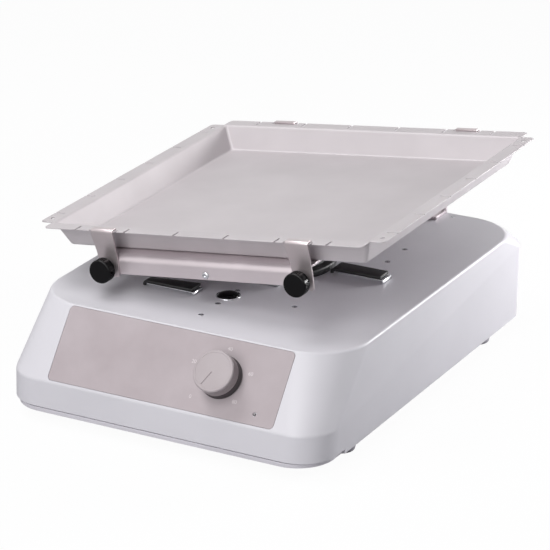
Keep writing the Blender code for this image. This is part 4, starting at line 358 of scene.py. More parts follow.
class Workpiece:
    """A solid or sheet on the bench, with the few shop operations that this object needs.

    Sizes and places are given in millimetres.
    """

    def __init__(self) -> None:
        """Start with nothing on the bench."""
        self.bm: bmesh.types.BMesh = bmesh.new()

    def round_corners(
        self, verts: Sequence[bmesh.types.BMVert], rounds: Sequence[float], segments: int
    ) -> None:
        """Round corners of a face or line, each with its own radius.

        Args:
            verts: the corners.
            rounds: the radius of each corner, zero for a sharp one.
            segments: facets in each rounded corner.
        """
        for radius in sorted({r for r in rounds if r > 0}):
            self.bevel([vert for vert, r in zip(verts, rounds) if r == radius], radius, segments, "VERTICES")

    def bevel(self, parts: Sequence[Any], radius: float, segments: int, affect: str) -> None:
        """Round corners or edges with one radius.

        Args:
            parts: what is rounded.
            radius: how far the rounding reaches.
            segments: facets across it.
            affect: VERTICES or EDGES.
        """
        bmesh.ops.bevel(
            self.bm, geom=parts, offset=radius * MM, offset_type="OFFSET", segments=segments, profile=0.5,
            affect=affect, clamp_overlap=affect == "EDGES", material=-1
        )

    def face(
        self, corners: Sequence[Sequence[float]], rounds: Sequence[float], height: float = 0,
        segments: int = 8
    ) -> bmesh.types.BMFace:
        """Lay a flat face and round its corners.

        Args:
            corners: X and Y of each corner, anticlockwise.
            rounds: the radius of each corner, zero for a sharp one.
            height: Z of the face.
            segments: facets in each rounded corner.

        Returns:
            The finished face.
        """
        before = set(self.bm.faces)
        made = [self.bm.verts.new(metres((x, y, height))) for x, y in corners]
        self.bm.faces.new(made)
        self.round_corners(made, rounds, segments)
        return next(f for f in self.bm.faces if f not in before)

    def rectangle(
        self, half_width: float, ends: tuple[float, float], radii: tuple[float, float], height: float = 0,
        segments: int = 8
    ) -> bmesh.types.BMFace:
        """Lay a rectangle with one radius at its low-Y corners and another at its high-Y ones.

        Args:
            half_width: half its size in X.
            ends: its lowest and highest Y.
            radii: corner radius at each end.
            height: Z of the face.
            segments: facets in each corner.

        Returns:
            The finished face.
        """
        low, high = ends
        corners = ((-half_width, low), (half_width, low), (half_width, high), (-half_width, high))
        return self.face(corners, (radii[0], radii[0], radii[1], radii[1]), height, segments)

    def rise(self, face: bmesh.types.BMFace, vector: Sequence[float]) -> list[bmesh.types.BMFace]:
        """Pull a face out into a solid.

        Args:
            face: the face to pull.
            vector: how far it goes.

        Returns:
            The faces at the far end.
        """
        made = bmesh.ops.extrude_face_region(self.bm, geom=[face])["geom"]
        verts = [g for g in made if isinstance(g, bmesh.types.BMVert)]
        bmesh.ops.translate(self.bm, vec=metres(vector), verts=verts)
        return [g for g in made if isinstance(g, bmesh.types.BMFace)]

    def slab(
        self, half_width: float, ends: tuple[float, float], radius: float, heights: tuple[float, float],
        segments: int = 6
    ) -> "Workpiece":
        """Add a plate with rounded corners.

        Args:
            half_width: half its size in X.
            ends: its lowest and highest Y.
            radius: radius of all four corners.
            heights: its lowest and highest Z.
            segments: facets in each corner.

        Returns:
            This workpiece.
        """
        face = self.rectangle(half_width, ends, (radius, radius), heights[0], segments)
        self.rise(face, (0, 0, heights[1] - heights[0]))
        return self

    def block(self, low: Sequence[float], high: Sequence[float]) -> "Workpiece":
        """Add a square block between two corners.

        Args:
            low: its lowest corner.
            high: its highest corner.

        Returns:
            This workpiece.
        """
        size = metres(high) - metres(low)
        matrix = Matrix.Translation(metres(low) + size / 2) @ Matrix.Diagonal((*size, 1.0))
        bmesh.ops.create_cube(self.bm, size=1.0, matrix=matrix)
        return self

    def bar(
        self, radius: float, start: Sequence[float], end: Sequence[float], steps: int = 32
    ) -> "Workpiece":
        """Add a round bar between two points.

        Args:
            radius: its radius.
            start: the middle of its first end.
            end: the middle of its last end.
            steps: facets around it.

        Returns:
            This workpiece.
        """
        span = metres(end) - metres(start)
        turned = span.to_track_quat("Z", "Y").to_matrix().to_4x4()
        bmesh.ops.create_cone(
            self.bm, cap_ends=True, segments=steps, radius1=radius * MM, radius2=radius * MM,
            depth=span.length, matrix=Matrix.Translation(metres(start) + span / 2) @ turned
        )
        return self

    def line(
        self, points: Sequence[Sequence[float]], rounds: Sequence[float], segments: int = 4
    ) -> list[bmesh.types.BMEdge]:
        """Draw a bent line and round its bends.

        Args:
            points: its points in space.
            rounds: the radius at each point, zero for a sharp one.
            segments: facets in each bend.

        Returns:
            The edges of the line.
        """
        made = [self.bm.verts.new(metres(point)) for point in points]
        for first, second in zip(made, made[1:]):
            self.bm.edges.new((first, second))
        self.round_corners(made, rounds, segments)
        return self.bm.edges[:]

    def turn(self, profile: Sequence[Sequence[float]], steps: int = 64, segments: int = 4) -> "Workpiece":
        """Turn a profile about the Z axis.

        Args:
            profile: radius, height and, where a corner is rounded, its radius.
            steps: facets around it.
            segments: facets in each rounded corner.

        Returns:
            This workpiece.
        """
        points = [(p[0], 0.0, p[1]) for p in profile]
        rounds = [p[2] if len(p) > 2 else 0.0 for p in profile]
        edges = self.line(points, rounds, segments)
        bmesh.ops.spin(
            self.bm, geom=self.bm.verts[:] + edges, cent=(0, 0, 0), axis=(0, 0, 1), angle=math.tau,
            steps=steps, use_merge=True
        )
        bmesh.ops.remove_doubles(self.bm, verts=self.bm.verts[:], dist=1e-7)
        return self

    def bend_strip(
        self, points: Sequence[Sequence[float]], rounds: Sequence[float], half_width: float, segments: int = 5
    ) -> "Workpiece":
        """Draw a folded sheet: a line in Y and Z, with its folds rounded, drawn out along X.

        Args:
            points: Y and Z of the line that the middle of the sheet follows.
            rounds: the fold radius at each point.
            half_width: half the sheet's width in X.
            segments: facets in each fold.

        Returns:
            This workpiece.
        """
        edges = self.line([(-half_width, y, z) for y, z in points], rounds, segments)
        made = bmesh.ops.extrude_edge_only(self.bm, edges=edges)["geom"]
        verts = [g for g in made if isinstance(g, bmesh.types.BMVert)]
        bmesh.ops.translate(self.bm, vec=metres((2 * half_width, 0, 0)), verts=verts)
        return self

    def skin(self, loops: Sequence[Sequence[bmesh.types.BMEdge]]) -> None:
        """Skin edge loops one after another.

        Args:
            loops: the edges of each loop, in order.
        """
        for lower, upper in zip(loops, loops[1:]):
            bmesh.ops.bridge_loops(self.bm, edges=list(lower) + list(upper))

    def round_edges(self, edges: Sequence[bmesh.types.BMEdge], radius: float, segments: int = 3) -> None:
        """Round chosen edges.

        Args:
            edges: the edges to round.
            radius: how far the rounding reaches.
            segments: facets across it.
        """
        self.bevel(list(edges), radius, segments, "EDGES")

    def edges_at(self, spots: Sequence[Sequence[float]], within: float = 0.2) -> list[bmesh.types.BMEdge]:
        """Find the upright edges that stand at these places.

        Args:
            spots: X and Y of each place.
            within: how near an edge has to be.

        Returns:
            The edges found.
        """
        spots = [metres((x, y, 0)).to_2d() for x, y in spots]
        return [
            edge for edge in self.bm.edges
            if any(all((v.co.to_2d() - spot).length < within * MM for v in edge.verts) for spot in spots)
        ]

    def groove(self, test: Callable[[float, float, float], bool], inset: float, depth: float) -> "Workpiece":
        """Sink every other facet around the piece, which leaves ribs between.

        Args:
            test: true for a facet with ribs, from its slope, its distance from the axis and its height.
            inset: how much of each facet's edge stays.
            depth: how deep the grooves are.

        Returns:
            This workpiece.
        """
        bmesh.ops.recalc_face_normals(self.bm, faces=self.bm.faces[:])
        chosen = []
        for face in self.bm.faces:
            middle = face.calc_center_median()
            if test(abs(face.normal.z), middle.to_2d().length / MM, middle.z / MM):
                chosen.append((math.atan2(middle.y, middle.x), face))
        chosen.sort(key=lambda pair: pair[0])
        faces = [face for _, face in chosen[::2]]
        bmesh.ops.inset_individual(
            self.bm, faces=faces, thickness=inset * MM, depth=-depth * MM, use_even_offset=True
        )
        return self

    def move(self, matrix: Matrix, verts: Sequence[bmesh.types.BMVert] | None = None) -> "Workpiece":
        """Place the workpiece, or some of its vertices.

        Args:
            matrix: where it goes.
            verts: the vertices that move, or all.

        Returns:
            This workpiece.
        """
        bmesh.ops.transform(self.bm, matrix=matrix, verts=self.bm.verts[:] if verts is None else list(verts))
        return self

    def mesh(self, name: str = "work") -> bpy.types.Mesh:
        """Take a plain mesh off the bench.

        Args:
            name: the mesh's name.

        Returns:
            A mesh with this workpiece's shape.
        """
        made = bpy.data.meshes.new(name)
        self.bm.to_mesh(made)
        return made

    def add(self, other: "Workpiece", matrix: Matrix) -> "Workpiece":
        """Put a copy of another workpiece beside what is here, without joining them.

        Args:
            other: what is copied.
            matrix: where the copy goes.

        Returns:
            This workpiece.
        """
        copied = other.mesh()
        copied.transform(matrix)
        self.bm.from_mesh(copied)
        bpy.data.meshes.remove(copied)
        return self

    def settle(self, kind: str, settings: dict[str, Any]) -> "Workpiece":
        """Run one modifier and keep its result.

        Args:
            kind: Blender's name for the modifier.
            settings: its options.

        Returns:
            This workpiece.
        """
        held = bpy.data.objects.new("held", self.mesh())
        bpy.context.scene.collection.objects.link(held)
        step = held.modifiers.new("step", kind)
        for key, value in settings.items():
            setattr(step, key, value)
        bpy.context.view_layer.update()
        depsgraph = bpy.context.evaluated_depsgraph_get()
        done = bpy.data.meshes.new_from_object(held.evaluated_get(depsgraph))
        self.bm.clear()
        self.bm.from_mesh(done)
        shape = held.data
        bpy.data.objects.remove(held)
        bpy.data.meshes.remove(shape)
        bpy.data.meshes.remove(done)
        return self

    def thicken(self, thickness: float, offset: float = 0.0) -> "Workpiece":
        """Give a sheet its thickness.

        Args:
            thickness: the sheet's thickness.
            offset: 0 puts it to both sides, -1 all inwards, 1 all outwards.

        Returns:
            This workpiece.
        """
        bmesh.ops.recalc_face_normals(self.bm, faces=self.bm.faces[:])
        settings = {"thickness": thickness * MM, "offset": offset, "use_even_offset": True}
        return self.settle("SOLIDIFY", settings)

    def soften(self, width: float, segments: int = 2, angle: float = 50.0) -> "Workpiece":
        """Break every edge that is sharper than an angle.

        Args:
            width: how far each break reaches.
            segments: facets across it.
            angle: the angle in degrees.

        Returns:
            This workpiece.
        """
        return self.settle(
            "BEVEL",
            {
                "width": width * MM, "segments": segments, "limit_method": "ANGLE",
                "angle_limit": math.radians(angle), "use_clamp_overlap": True
            },
        )

    def combine(self, other: "Workpiece", operation: str = "DIFFERENCE") -> "Workpiece":
        """Cut another workpiece out of this one, or join it on.

        Args:
            other: the cutter or the part to join.
            operation: DIFFERENCE or UNION.

        Returns:
            This workpiece.
        """
        for work in (self, other):
            bmesh.ops.recalc_face_normals(work.bm, faces=work.bm.faces[:])
        tool = bpy.data.objects.new("tool", other.mesh())
        bpy.context.scene.collection.objects.link(tool)
        self.settle("BOOLEAN", {"operation": operation, "solver": "EXACT", "object": tool})
        shape = tool.data
        bpy.data.objects.remove(tool)
        bpy.data.meshes.remove(shape)
        return self

    def deliver(
        self, name: str, finish: Finish, body: str, stands_for: Sequence[str] = (),
        place: Matrix | None = None, sharp: float = 35.0, even: bool = False
    ) -> bpy.types.Object:
        """Hand the piece over: in place, facing out, smooth between its sharp edges, and dressed.

        Args:
            name: the piece's name.
            finish: its material.
            body: the body that it moves with.
            stands_for: the frame's nodes that it takes the place of.
            place: where it sits, measured from the housing's middle.
            sharp: edges over this angle in degrees stay crisp.
            even: true for large flat faces that meet small rounded ones.

        Returns:
            The finished object, at the origin with its place in its mesh.
        """
        self.move(BENCH @ (place or Matrix.Identity(4)))
        bmesh.ops.recalc_face_normals(self.bm, faces=self.bm.faces[:])
        mesh = self.mesh(name)
        self.bm.free()
        mesh.shade_smooth()
        mesh.set_sharp_from_angle(angle=math.radians(sharp))
        mesh.materials.append(finish.material())
        made = bpy.data.objects.new(name, mesh)
        bpy.context.scene.collection.objects.link(made)
        if even:
            step = made.modifiers.new("even_shading", "WEIGHTED_NORMAL")
            step.keep_sharp = True
            step.weight = 60
        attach(made, body)
        if stands_for:
            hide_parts(*stands_for)
        LOG.info("%s rides on %s with %d faces", name, body, len(mesh.polygons))
        return made


@dataclass
class Housing:
    """The moulded cover with its sloping front, the base plate with its front lip, and the feet."""

    half_width: float = 157.5
    front_y: float = -214.7
    back_y: float = 200.3
    cover_z: float = 10.0
    wall: float = 3.0
    crease_z: float = 38.0
    crease_slope: float = 0.1156946
    band_draft: float = 0.8
    front_draft: float = 2.4
    lean: float = 2.5
    front_radius: float = 34.0
    back_radius: float = 20.0
    top_radius: float = 50.0
    corner_segments: int = 20
    lip_top_z: float = 14.0
    lip_seam: float = 0.8
    lip_inset: float = 3.5
    lip_length: float = 48.0
    plate_z: float = 9.6
    foot_places: tuple[tuple[str, float, float], ...] = (
        ("front_left", -138.5, -138.7), ("front_right", 138.5, -138.7), ("back_left", -138.5, 133.3),
        ("back_right", 138.5, 133.3)
    )
    back_openings: tuple[tuple[float, float, float], ...] = ((-50, 27.6, 20.1), (0, 15.6, 22.1))
    screw_places: tuple[tuple[float, float], ...] = (
        (0, -135.5), (0, -105.8), (0, -70.7), (-62.3, -80.8), (62.3, -80.8), (-84.9, 54.6), (84.9, 54.6),
        (-84.9, 90), (84.9, 90), (-86.4, 187.6), (86.4, 187.6)
    )

    def skin(self) -> Workpiece:
        """Skin the cover's three outlines and give it its wall.

        Returns:
            The closed shell, before its holes.
        """
        work = Workpiece()
        narrow = self.half_width - self.band_draft
        ends = (self.front_y, self.back_y - self.band_draft)
        radii = (self.front_radius, self.back_radius)
        bottom = work.rectangle(narrow, ends, radii, self.cover_z, self.corner_segments)
        ends = (self.front_y + self.front_draft, self.back_y)
        crease = work.rectangle(self.half_width, ends, radii, self.crease_z, self.corner_segments)
        start = self.front_y + self.front_radius
        shear = Matrix.Identity(4)
        shear[2][1] = self.crease_slope
        shear[2][3] = -self.crease_slope * start * MM
        work.move(shear, [v for v in crease.verts if v.co.y > start * MM])
        ends = (TOP_FRONT_Y, self.back_y - self.lean)
        radii = (self.top_radius, self.top_radius)
        top = work.rectangle(self.half_width - self.lean, ends, radii, HEIGHT, self.corner_segments)
        loops = [list(face.edges) for face in (bottom, crease, top)]
        bmesh.ops.delete(work.bm, geom=[bottom, crease], context="FACES_ONLY")
        work.skin(loops)
        work.round_edges(loops[1], 1.5, 3)
        rim = [e for e in work.bm.edges if all(abs(v.co.z - HEIGHT * MM) < 1e-6 for v in e.verts)]
        work.round_edges(rim, 2.2, 5)
        return work.thicken(self.wall, -1.0)

    def cutter(self) -> Workpiece:
        """Gather every hole through the cover.

        Returns:
            The solids to cut away.
        """
        work = Workpiece()
        low, high = HEIGHT - self.wall - PAST, HEIGHT + PAST
        plug_y, lever_y = TopFittings.plug_y, TopFittings.lever_y
        work.bar(7.3, (0, plug_y, low), (0, plug_y, high))
        work.block((-15, lever_y - 8, low), (15, lever_y + 8, high))
        for x, y in self.screw_places:
            work.bar(2.8, (x, y, HEIGHT - 0.9), (x, y, high), 24)
        z, outside = BackFittings.z, self.back_y + PAST
        inside = self.back_y - self.wall - PAST
        for x, width, tall in self.back_openings:
            work.block((x - width / 2, inside, z - tall / 2), (x + width / 2, outside, z + tall / 2))
        fuse_x = BackFittings.fuse_x
        work.bar(6.5, (fuse_x, inside, z), (fuse_x, outside, z))
        reach = self.half_width + PAST
        lip_back = self.front_y + self.lip_length
        work.block((-reach, self.front_y - PAST, self.cover_z - PAST), (reach, lip_back, self.lip_top_z))
        work.add(Workpiece().slab(111.3, (-70.3, -0.9), 4.3, (-1.3, PAST)), FACE)
        for x, down, radius in ControlFace.holes:
            work.add(Workpiece().bar(radius, (x, -down, -6), (x, -down, -0.7), 24), FACE)
        return work

    def make_cover(self) -> None:
        """Cut the cover and hand it over."""
        self.skin().combine(self.cutter()).deliver(
            "cover_shell", HOUSING_ABS, "housing", ["housing_cover"], sharp=30.0, even=True
        )

    def make_base(self) -> None:
        """Join the inner plate to the lip that shows under the front, and cut its slots."""
        narrow = self.half_width - self.band_draft
        ends = (self.front_y, self.back_y - self.band_draft)
        top = self.lip_top_z - self.lip_seam
        lip = Workpiece()
        face = lip.rectangle(
            narrow - self.lip_inset, ends, (self.front_radius, self.back_radius), self.plate_z,
            self.corner_segments
        )
        far = lip.rise(face, (0, 0, top - self.plate_z))
        lip.round_edges([e for f in far for e in f.edges], 0.8, 2)
        bmesh.ops.bisect_plane(
            lip.bm, geom=lip.bm.verts[:] + lip.bm.edges[:] + lip.bm.faces[:],
            plane_co=metres((0, self.front_y + self.lip_length - GAP, 0)), plane_no=(0, 1, 0),
            clear_outer=True
        )
        bmesh.ops.holes_fill(lip.bm, edges=[e for e in lip.bm.edges if e.is_boundary], sides=0)
        inset = self.wall + GAP
        inner = Workpiece()
        ends = (self.front_y + inset, self.back_y - self.band_draft - inset)
        radii = (self.front_radius - inset, self.back_radius - inset)
        face = inner.rectangle(narrow - inset, ends, radii, self.plate_z, self.corner_segments)
        inner.rise(face, (0, 0, top - self.plate_z))
        inner.combine(lip, "UNION")
        cutter = Workpiece()
        for k in range(5):
            x = (k - 2) * 12
            cutter.add(Workpiece().slab(2, (145, 165), 1.9, (self.plate_z - PAST, top + PAST)), at(x, 0, 0))
        for _, x, y in self.foot_places:
            cutter.bar(4.8, (x, y, self.plate_z - PAST), (x, y, top + PAST), 24)
        inner.combine(cutter).deliver("base_pan", BASE_COAT, "housing", ["base_plate"], sharp=30.0, even=True)

    def make_feet(self) -> None:
        """Turn the four feet, each with a ring groove and a countersunk middle."""
        for name, x, y in self.foot_places:
            work = Workpiece().turn(
                (
                    (0, 4.5), (4, 4.5, 0.4), (4, 0, 0.6), (12, 0, 1), (13, 4.6, 0.4), (12.5, 5.2, 0.2),
                    (13.2, 5.8, 0.4), (14, 9.3, 0.6), (4.5, 9.3), (4.5, 15, 0.6), (0, 15)
                )
            )
            work.deliver(f"rubber_foot_{name}", FOOT_RUBBER, "housing", [f"foot_{name}"], at(x, y, 0))

    def make_screws(self) -> None:
        """Set the small cross-head screws in the top face and under the base."""
        screw = Workpiece().turn(((0, 0), (2.4, 0, 0.4), (2.6, -0.6, 0), (1.5, -2), (0, -2)), 24, 2)
        cross = Workpiece().block((-1.6, -0.3, -0.7), (1.6, 0.3, 1))
        cross.combine(Workpiece().block((-0.3, -1.6, -0.7), (0.3, 1.6, 1)), "UNION")
        screw.combine(cross)
        tops, unders = Workpiece(), Workpiece()
        for k, (x, y) in enumerate(self.screw_places):
            turn = Matrix.Rotation(math.radians(17 + 31 * k), 4, "Z")
            tops.add(screw, at(x, y, HEIGHT - 0.1) @ turn)
        tops.deliver("top_screws", TURNED_STEEL, "housing")
        flip = Matrix.Rotation(math.pi, 4, "X")
        for x in (-125, 0, 125):
            for y in (-180, 0, 180):
                spot = at(x, y, self.plate_z - 0.1) @ Matrix.Rotation((x + y) * MM, 4, "Z")
                unders.add(screw, spot @ flip)
        unders.deliver("base_screws", TURNED_STEEL, "housing")

    def build(self) -> None:
        """Make the cover, base, feet and screws."""
        self.make_cover()
        self.make_base()
        self.make_feet()
        self.make_screws()


@dataclass
class ControlFace:
    """The film panel on the slope with its printed numbers, the knob and the indicator."""

    film_half_width: float = 111.0
    film_ends: tuple[float, float] = (-70, -1.2)
    film_thickness: float = 1.0
    knob_x: float = 51.0
    knob_down: float = 35.5
    knob_radius: float = 18.7
    knob_height: float = 19.0
    knob_facets: int = 176
    shade_ring_top: float = 7.2
    rest_angle: float = math.radians(153)
    lamp_x: float = 91.0
    lamp_down: float = 60.5
    holes: tuple[tuple[float, float, float], ...] = ((knob_x, knob_down, 4.8), (lamp_x, lamp_down, 1.9))
    text_size: float = 4.6
    text_relief: float = 0.03
    numbers: tuple[tuple[str, float, float], ...] = (
        ("0", 27.8, 57.4), ("20", 21.3, 27), ("40", 50.8, 10.1), ("60", 76.4, 27.5), ("80", 69.6, 53.9)
    )

    def make_film(self) -> None:
        """Cut the film panel and its two holes."""
        work = Workpiece().slab(self.film_half_width, self.film_ends, 4, (-self.film_thickness, 0))
        cutter = Workpiece()
        for (x, down, radius), steps in zip(self.holes, (32, 24)):
            cutter.bar(radius, (x, -down, -3), (x, -down, PAST), steps)
        work.combine(cutter).soften(0.2, 2)
        work.deliver("control_film", PANEL_FILM, "housing", ["control_panel"], FACE, 60.0, True)

    def make_numbers(self) -> None:
        """Print plain numbers around the knob."""
        work = Workpiece()
        for text, x, down in self.numbers:
            drawn = bpy.data.curves.new("number", "FONT")
            drawn.body = text
            drawn.size = self.text_size * MM
            drawn.align_x = drawn.align_y = "CENTER"
            drawn.extrude = self.text_relief * MM
            held = bpy.data.objects.new("number", drawn)
            bpy.context.scene.collection.objects.link(held)
            shape = bpy.data.meshes.new_from_object(held)
            shape.transform(at(x, -down, 0.04))
            work.bm.from_mesh(shape)
            bpy.data.objects.remove(held)
            bpy.data.curves.remove(drawn)
            bpy.data.meshes.remove(shape)
        work.deliver("dial_numbers", PALE_INK, "housing", place=FACE)

    def make_knob(self) -> None:
        """Turn the knob, rib its side and cut its pointer line."""
        radius, top = self.knob_radius, self.knob_height
        work = Workpiece().turn(
            (
                (3.3, 6), (12, 6), (12, self.shade_ring_top + 0.2), (radius, self.shade_ring_top + 0.2, 0.3),
                (radius, self.shade_ring_top + 1.4), (radius, top - 1.4), (radius - 0.5, top - 0.4, 0.3),
                (radius - 1.2, top, 0.3), (radius - 2.2, top, 0.1), (radius - 2.5, top - 0.3, 0.1),
                (radius - 2.8, top - 0.1, 0.1), (0, top - 0.1)
            ),
            self.knob_facets,
            2,
        )
        work.groove(
            lambda slope, reach,
            height: slope < 0.2 and reach > radius - 0.4 and self.shade_ring_top + 2 < height < top - 3, 0.06,
            0.7
        )
        work.combine(Workpiece().block((-0.6, 1, top - 0.7), (0.6, 15, top + 1)))
        place = FACE @ at(self.knob_x, -self.knob_down, 0) @ Matrix.Rotation(self.rest_angle, 4, "Z")
        work.deliver("ribbed_knob", KNOB_ABS, "speed_control", ["speed_knob"], place, 28.0)
        # The dark ring under the knob is painted shade for the shadow at its foot
        Workpiece().turn(
            (
                (12.2, GAP), (19.3, GAP, 0.2), (19.3, 1.5, 0.4), (radius - 0.2, 2.4, 0.4),
                (radius - 0.2, self.shade_ring_top, 0.2), (12.2, self.shade_ring_top), (12.2, GAP)
            ),
            96,
            2,
        ).deliver("knob_foot_painted_shade", KNOB_FOOT_PAINTED_SHADE, "speed_control", place=place)

    def make_lamp(self) -> None:
        """Turn the small domed indicator."""
        work = Workpiece().turn(((0, 0.5), (0.8, 0.4, 0.2), (1.4, -0.1, 0.2), (1.4, -3), (0, -3)), 24)
        place = FACE @ at(self.lamp_x, -self.lamp_down, 0)
        work.deliver("indicator_lens", LAMP_ACRYLIC, "housing", ["status_lamp"], place)

    def build(self) -> None:
        """Make everything on the sloping face."""
        self.make_film()
        self.make_numbers()
        self.make_knob()
        self.make_lamp()


@dataclass
class TopFittings:
    """What is fixed on the top face: the plug, the two leaf strips, the bearings and the gaiter."""

    plug_y: float = -87.5
    strip_length: float = 50.0
    strip_half_width: float = 8.5
    pad_z: float = 100.6
    pad_thickness: float = 2.8
    pedestal_y: float = -44.5
    support_y: float = 196.0
    lever_y: float = 10.5
    strips: tuple[tuple[str, float, float, float, float], ...] = (
        ("left_strip", -28, -94.8, 7.5, 1.2), ("right_strip", 104, 10.2, 0, 2.5)
    )

    def make_plug(self) -> None:
        """Turn the domed plug and the thin bright ring around it."""
        place = at(0, self.plug_y, TOP_Z)
        Workpiece().turn(
            ((0, 3), (5.5, 2.9, 2), (8.8, 2.2, 1.2), (10, 0, 0.2), (7, 0), (7, -5.5, 0.8), (0, -5.5)), 64
        ).deliver("domed_plug", BLACK_PHENOLIC, "housing", ["access_plug"], place)
        Workpiece().turn(
            ((10.3, 0), (11.3, 0), (11.2, 0.8, 0.3), (10.5, 1.2, 0.3), (10.3, 0)), 64
        ).deliver("plug_trim", TURNED_STEEL, "housing", ["plug_ring"], place)

    def make_strips(self) -> None:
        """Fold each leaf with its bright turned-down end, and wrap its rubber pad over the other end."""
        across = Matrix.Rotation(-QUARTER, 4, "Z")
        for name, end_x, y, slant, reach in self.strips:
            start = end_x - self.strip_length
            half = self.pad_thickness / 2
            pad = Workpiece().bend_strip(
                ((start + half, 96.2), (start + half, self.pad_z), (end_x, self.pad_z)), (0, 3.4, 0),
                self.strip_half_width, 6
            )
            taper = Matrix.Identity(4)
            taper[0][1], taper[0][3] = -slant / self.strip_length, slant * end_x * MM / self.strip_length
            pad.move(taper, [v for v in pad.bm.verts if v.co.x < 0])
            pad.thicken(self.pad_thickness).soften(0.9, 3)
            place = at(0, y, 0) @ across
            pad.deliver(f"{name}_rubber", BLACK_RUBBER, "housing", [f"{name}_pad"], place)
            leaf = Workpiece().bend_strip(
                ((start + 4, 98.4), (end_x + reach, 98.4), (end_x + reach, 95.4)), (0, 1.4, 0),
                self.strip_half_width - 0.3, 5
            )
            leaf.thicken(1).soften(0.25, 2)
            leaf.deliver(f"{name}_spring", SPRING_STEEL, "housing", [f"{name}_leaf"], place)

    def make_pedestal(self) -> None:
        """Cast the front bearing pedestal and bolt it down."""
        rise = PIVOT_Z - TOP_Z
        work = Workpiece()
        face = work.face(
            ((-28, 0), (28, 0), (28, 6), (13, 6), (10, rise + 10), (-10, rise + 10), (-13, 6), (-28, 6)),
            (0, 0, 1.5, 6, 9.95, 9.95, 6, 1.5),
        )
        work.rise(face, (0, 0, 8))
        work.soften(0.6, 2, 60)
        work.combine(Workpiece().bar(7.8, (0, rise, -2), (0, rise, 10)))
        place = at(0, self.pedestal_y + 4, TOP_Z) @ UPRIGHT
        work.deliver("cast_pedestal", CAST_METAL, "housing", ["front_pedestal"], place)
        bolts = Workpiece()
        for x in (-21.5, 21.5):
            bolts.add(self.bolt(), at(x, self.pedestal_y, TOP_Z + 6))
        bolts.deliver("pedestal_bolts", TURNED_STEEL, "housing")

    def bolt(self) -> Workpiece:
        """Turn a socket cap screw.

        Returns:
            The screw, standing on its seat.
        """
        head = Workpiece().turn(((0, 3), (3.3, 3, 0.4), (3.5, 0, 0), (0, 0)), 32)
        return head.combine(Workpiece().bar(1.7, (0, 0, 1.2), (0, 0, 6), 6))

    def make_support(self) -> None:
        """Fold the back support from plate, weld its bearing boss and bolt it down."""
        rise = PIVOT_Z - TOP_Z
        work = Workpiece()
        face = work.face(
            (
                (-77, 0), (77, 0), (77, 12), (26, 12), (10, rise + 10),
                (-10, rise + 10), (-26, 12), (-77, 12),
            ),
            (0, 0, 4, 6, 8.5, 8.5, 6, 4),
        )
        work.rise(face, (0, 0, 3))
        work.move(at(0, self.support_y, TOP_Z) @ UPRIGHT)
        foot = Workpiece().slab(77, (self.support_y - 24, self.support_y - 0.5), 1.5, (TOP_Z, TOP_Z + 3))
        work.combine(foot, "UNION")
        boss = Workpiece().bar(10, (0, self.support_y - 10, PIVOT_Z), (0, self.support_y - 1, PIVOT_Z), 48)
        work.combine(boss, "UNION").soften(0.4, 2, 60)
        bore = Workpiece().bar(7.8, (0, self.support_y - 20, PIVOT_Z), (0, self.support_y + 2, PIVOT_Z))
        work.combine(bore).deliver("folded_support", CARRIER_COAT, "housing", ["back_support"])
        bolts = Workpiece()
        for x in (-60, -30, 30, 60):
            bolts.add(self.bolt(), at(x, self.support_y - 13, TOP_Z + 3))
        bolts.deliver("support_bolts", TURNED_STEEL, "housing")

    def make_bushes(self) -> None:
        """Turn the two flanged bushes."""
        for name, front, length in (
            ("front_bush", self.pedestal_y - 4, 8), ("back_bush", self.support_y - 10, 10)
        ):
            Workpiece().turn(
                (
                    (5.3, -1.3, 0.3), (9, -1.3, 0.3), (9, -0.3, 0.2), (7.5, -0.3), (7.5, length, 0.3),
                    (5.3, length), (5.3, -1.3)
                ),
                48,
                2,
            ).deliver(f"{name}_turned", BEARING_BRONZE, "housing", [name], at(0, front, PIVOT_Z) @ BACKWARD)

    def make_gaiter(self) -> None:
        """Turn the folded rubber gaiter around the lever's slot."""
        work = Workpiece().turn(
            (
                (50, 0), (50, 6, 1.8), (42.5, 6, 1.5), (41.3, 8, 1), (33.5, 9.9, 1), (32.8, 11.8, 0.9),
                (25.1, 13.8, 1), (24.3, 15.7, 0.9), (16.6, 17.7, 0.4), (15.4, 17.4)
            ),
            96,
            4,
        )
        work.thicken(1.5, -1.0)
        work.deliver(
            "folded_gaiter", BLACK_RUBBER, "housing", ["lever_gaiter"], at(0, self.lever_y, TOP_Z), 50.0
        )

    def build(self) -> None:
        """Make everything on the top face."""
        self.make_plug()
        self.make_strips()
        self.make_pedestal()
        self.make_support()
        self.make_bushes()
        self.make_gaiter()


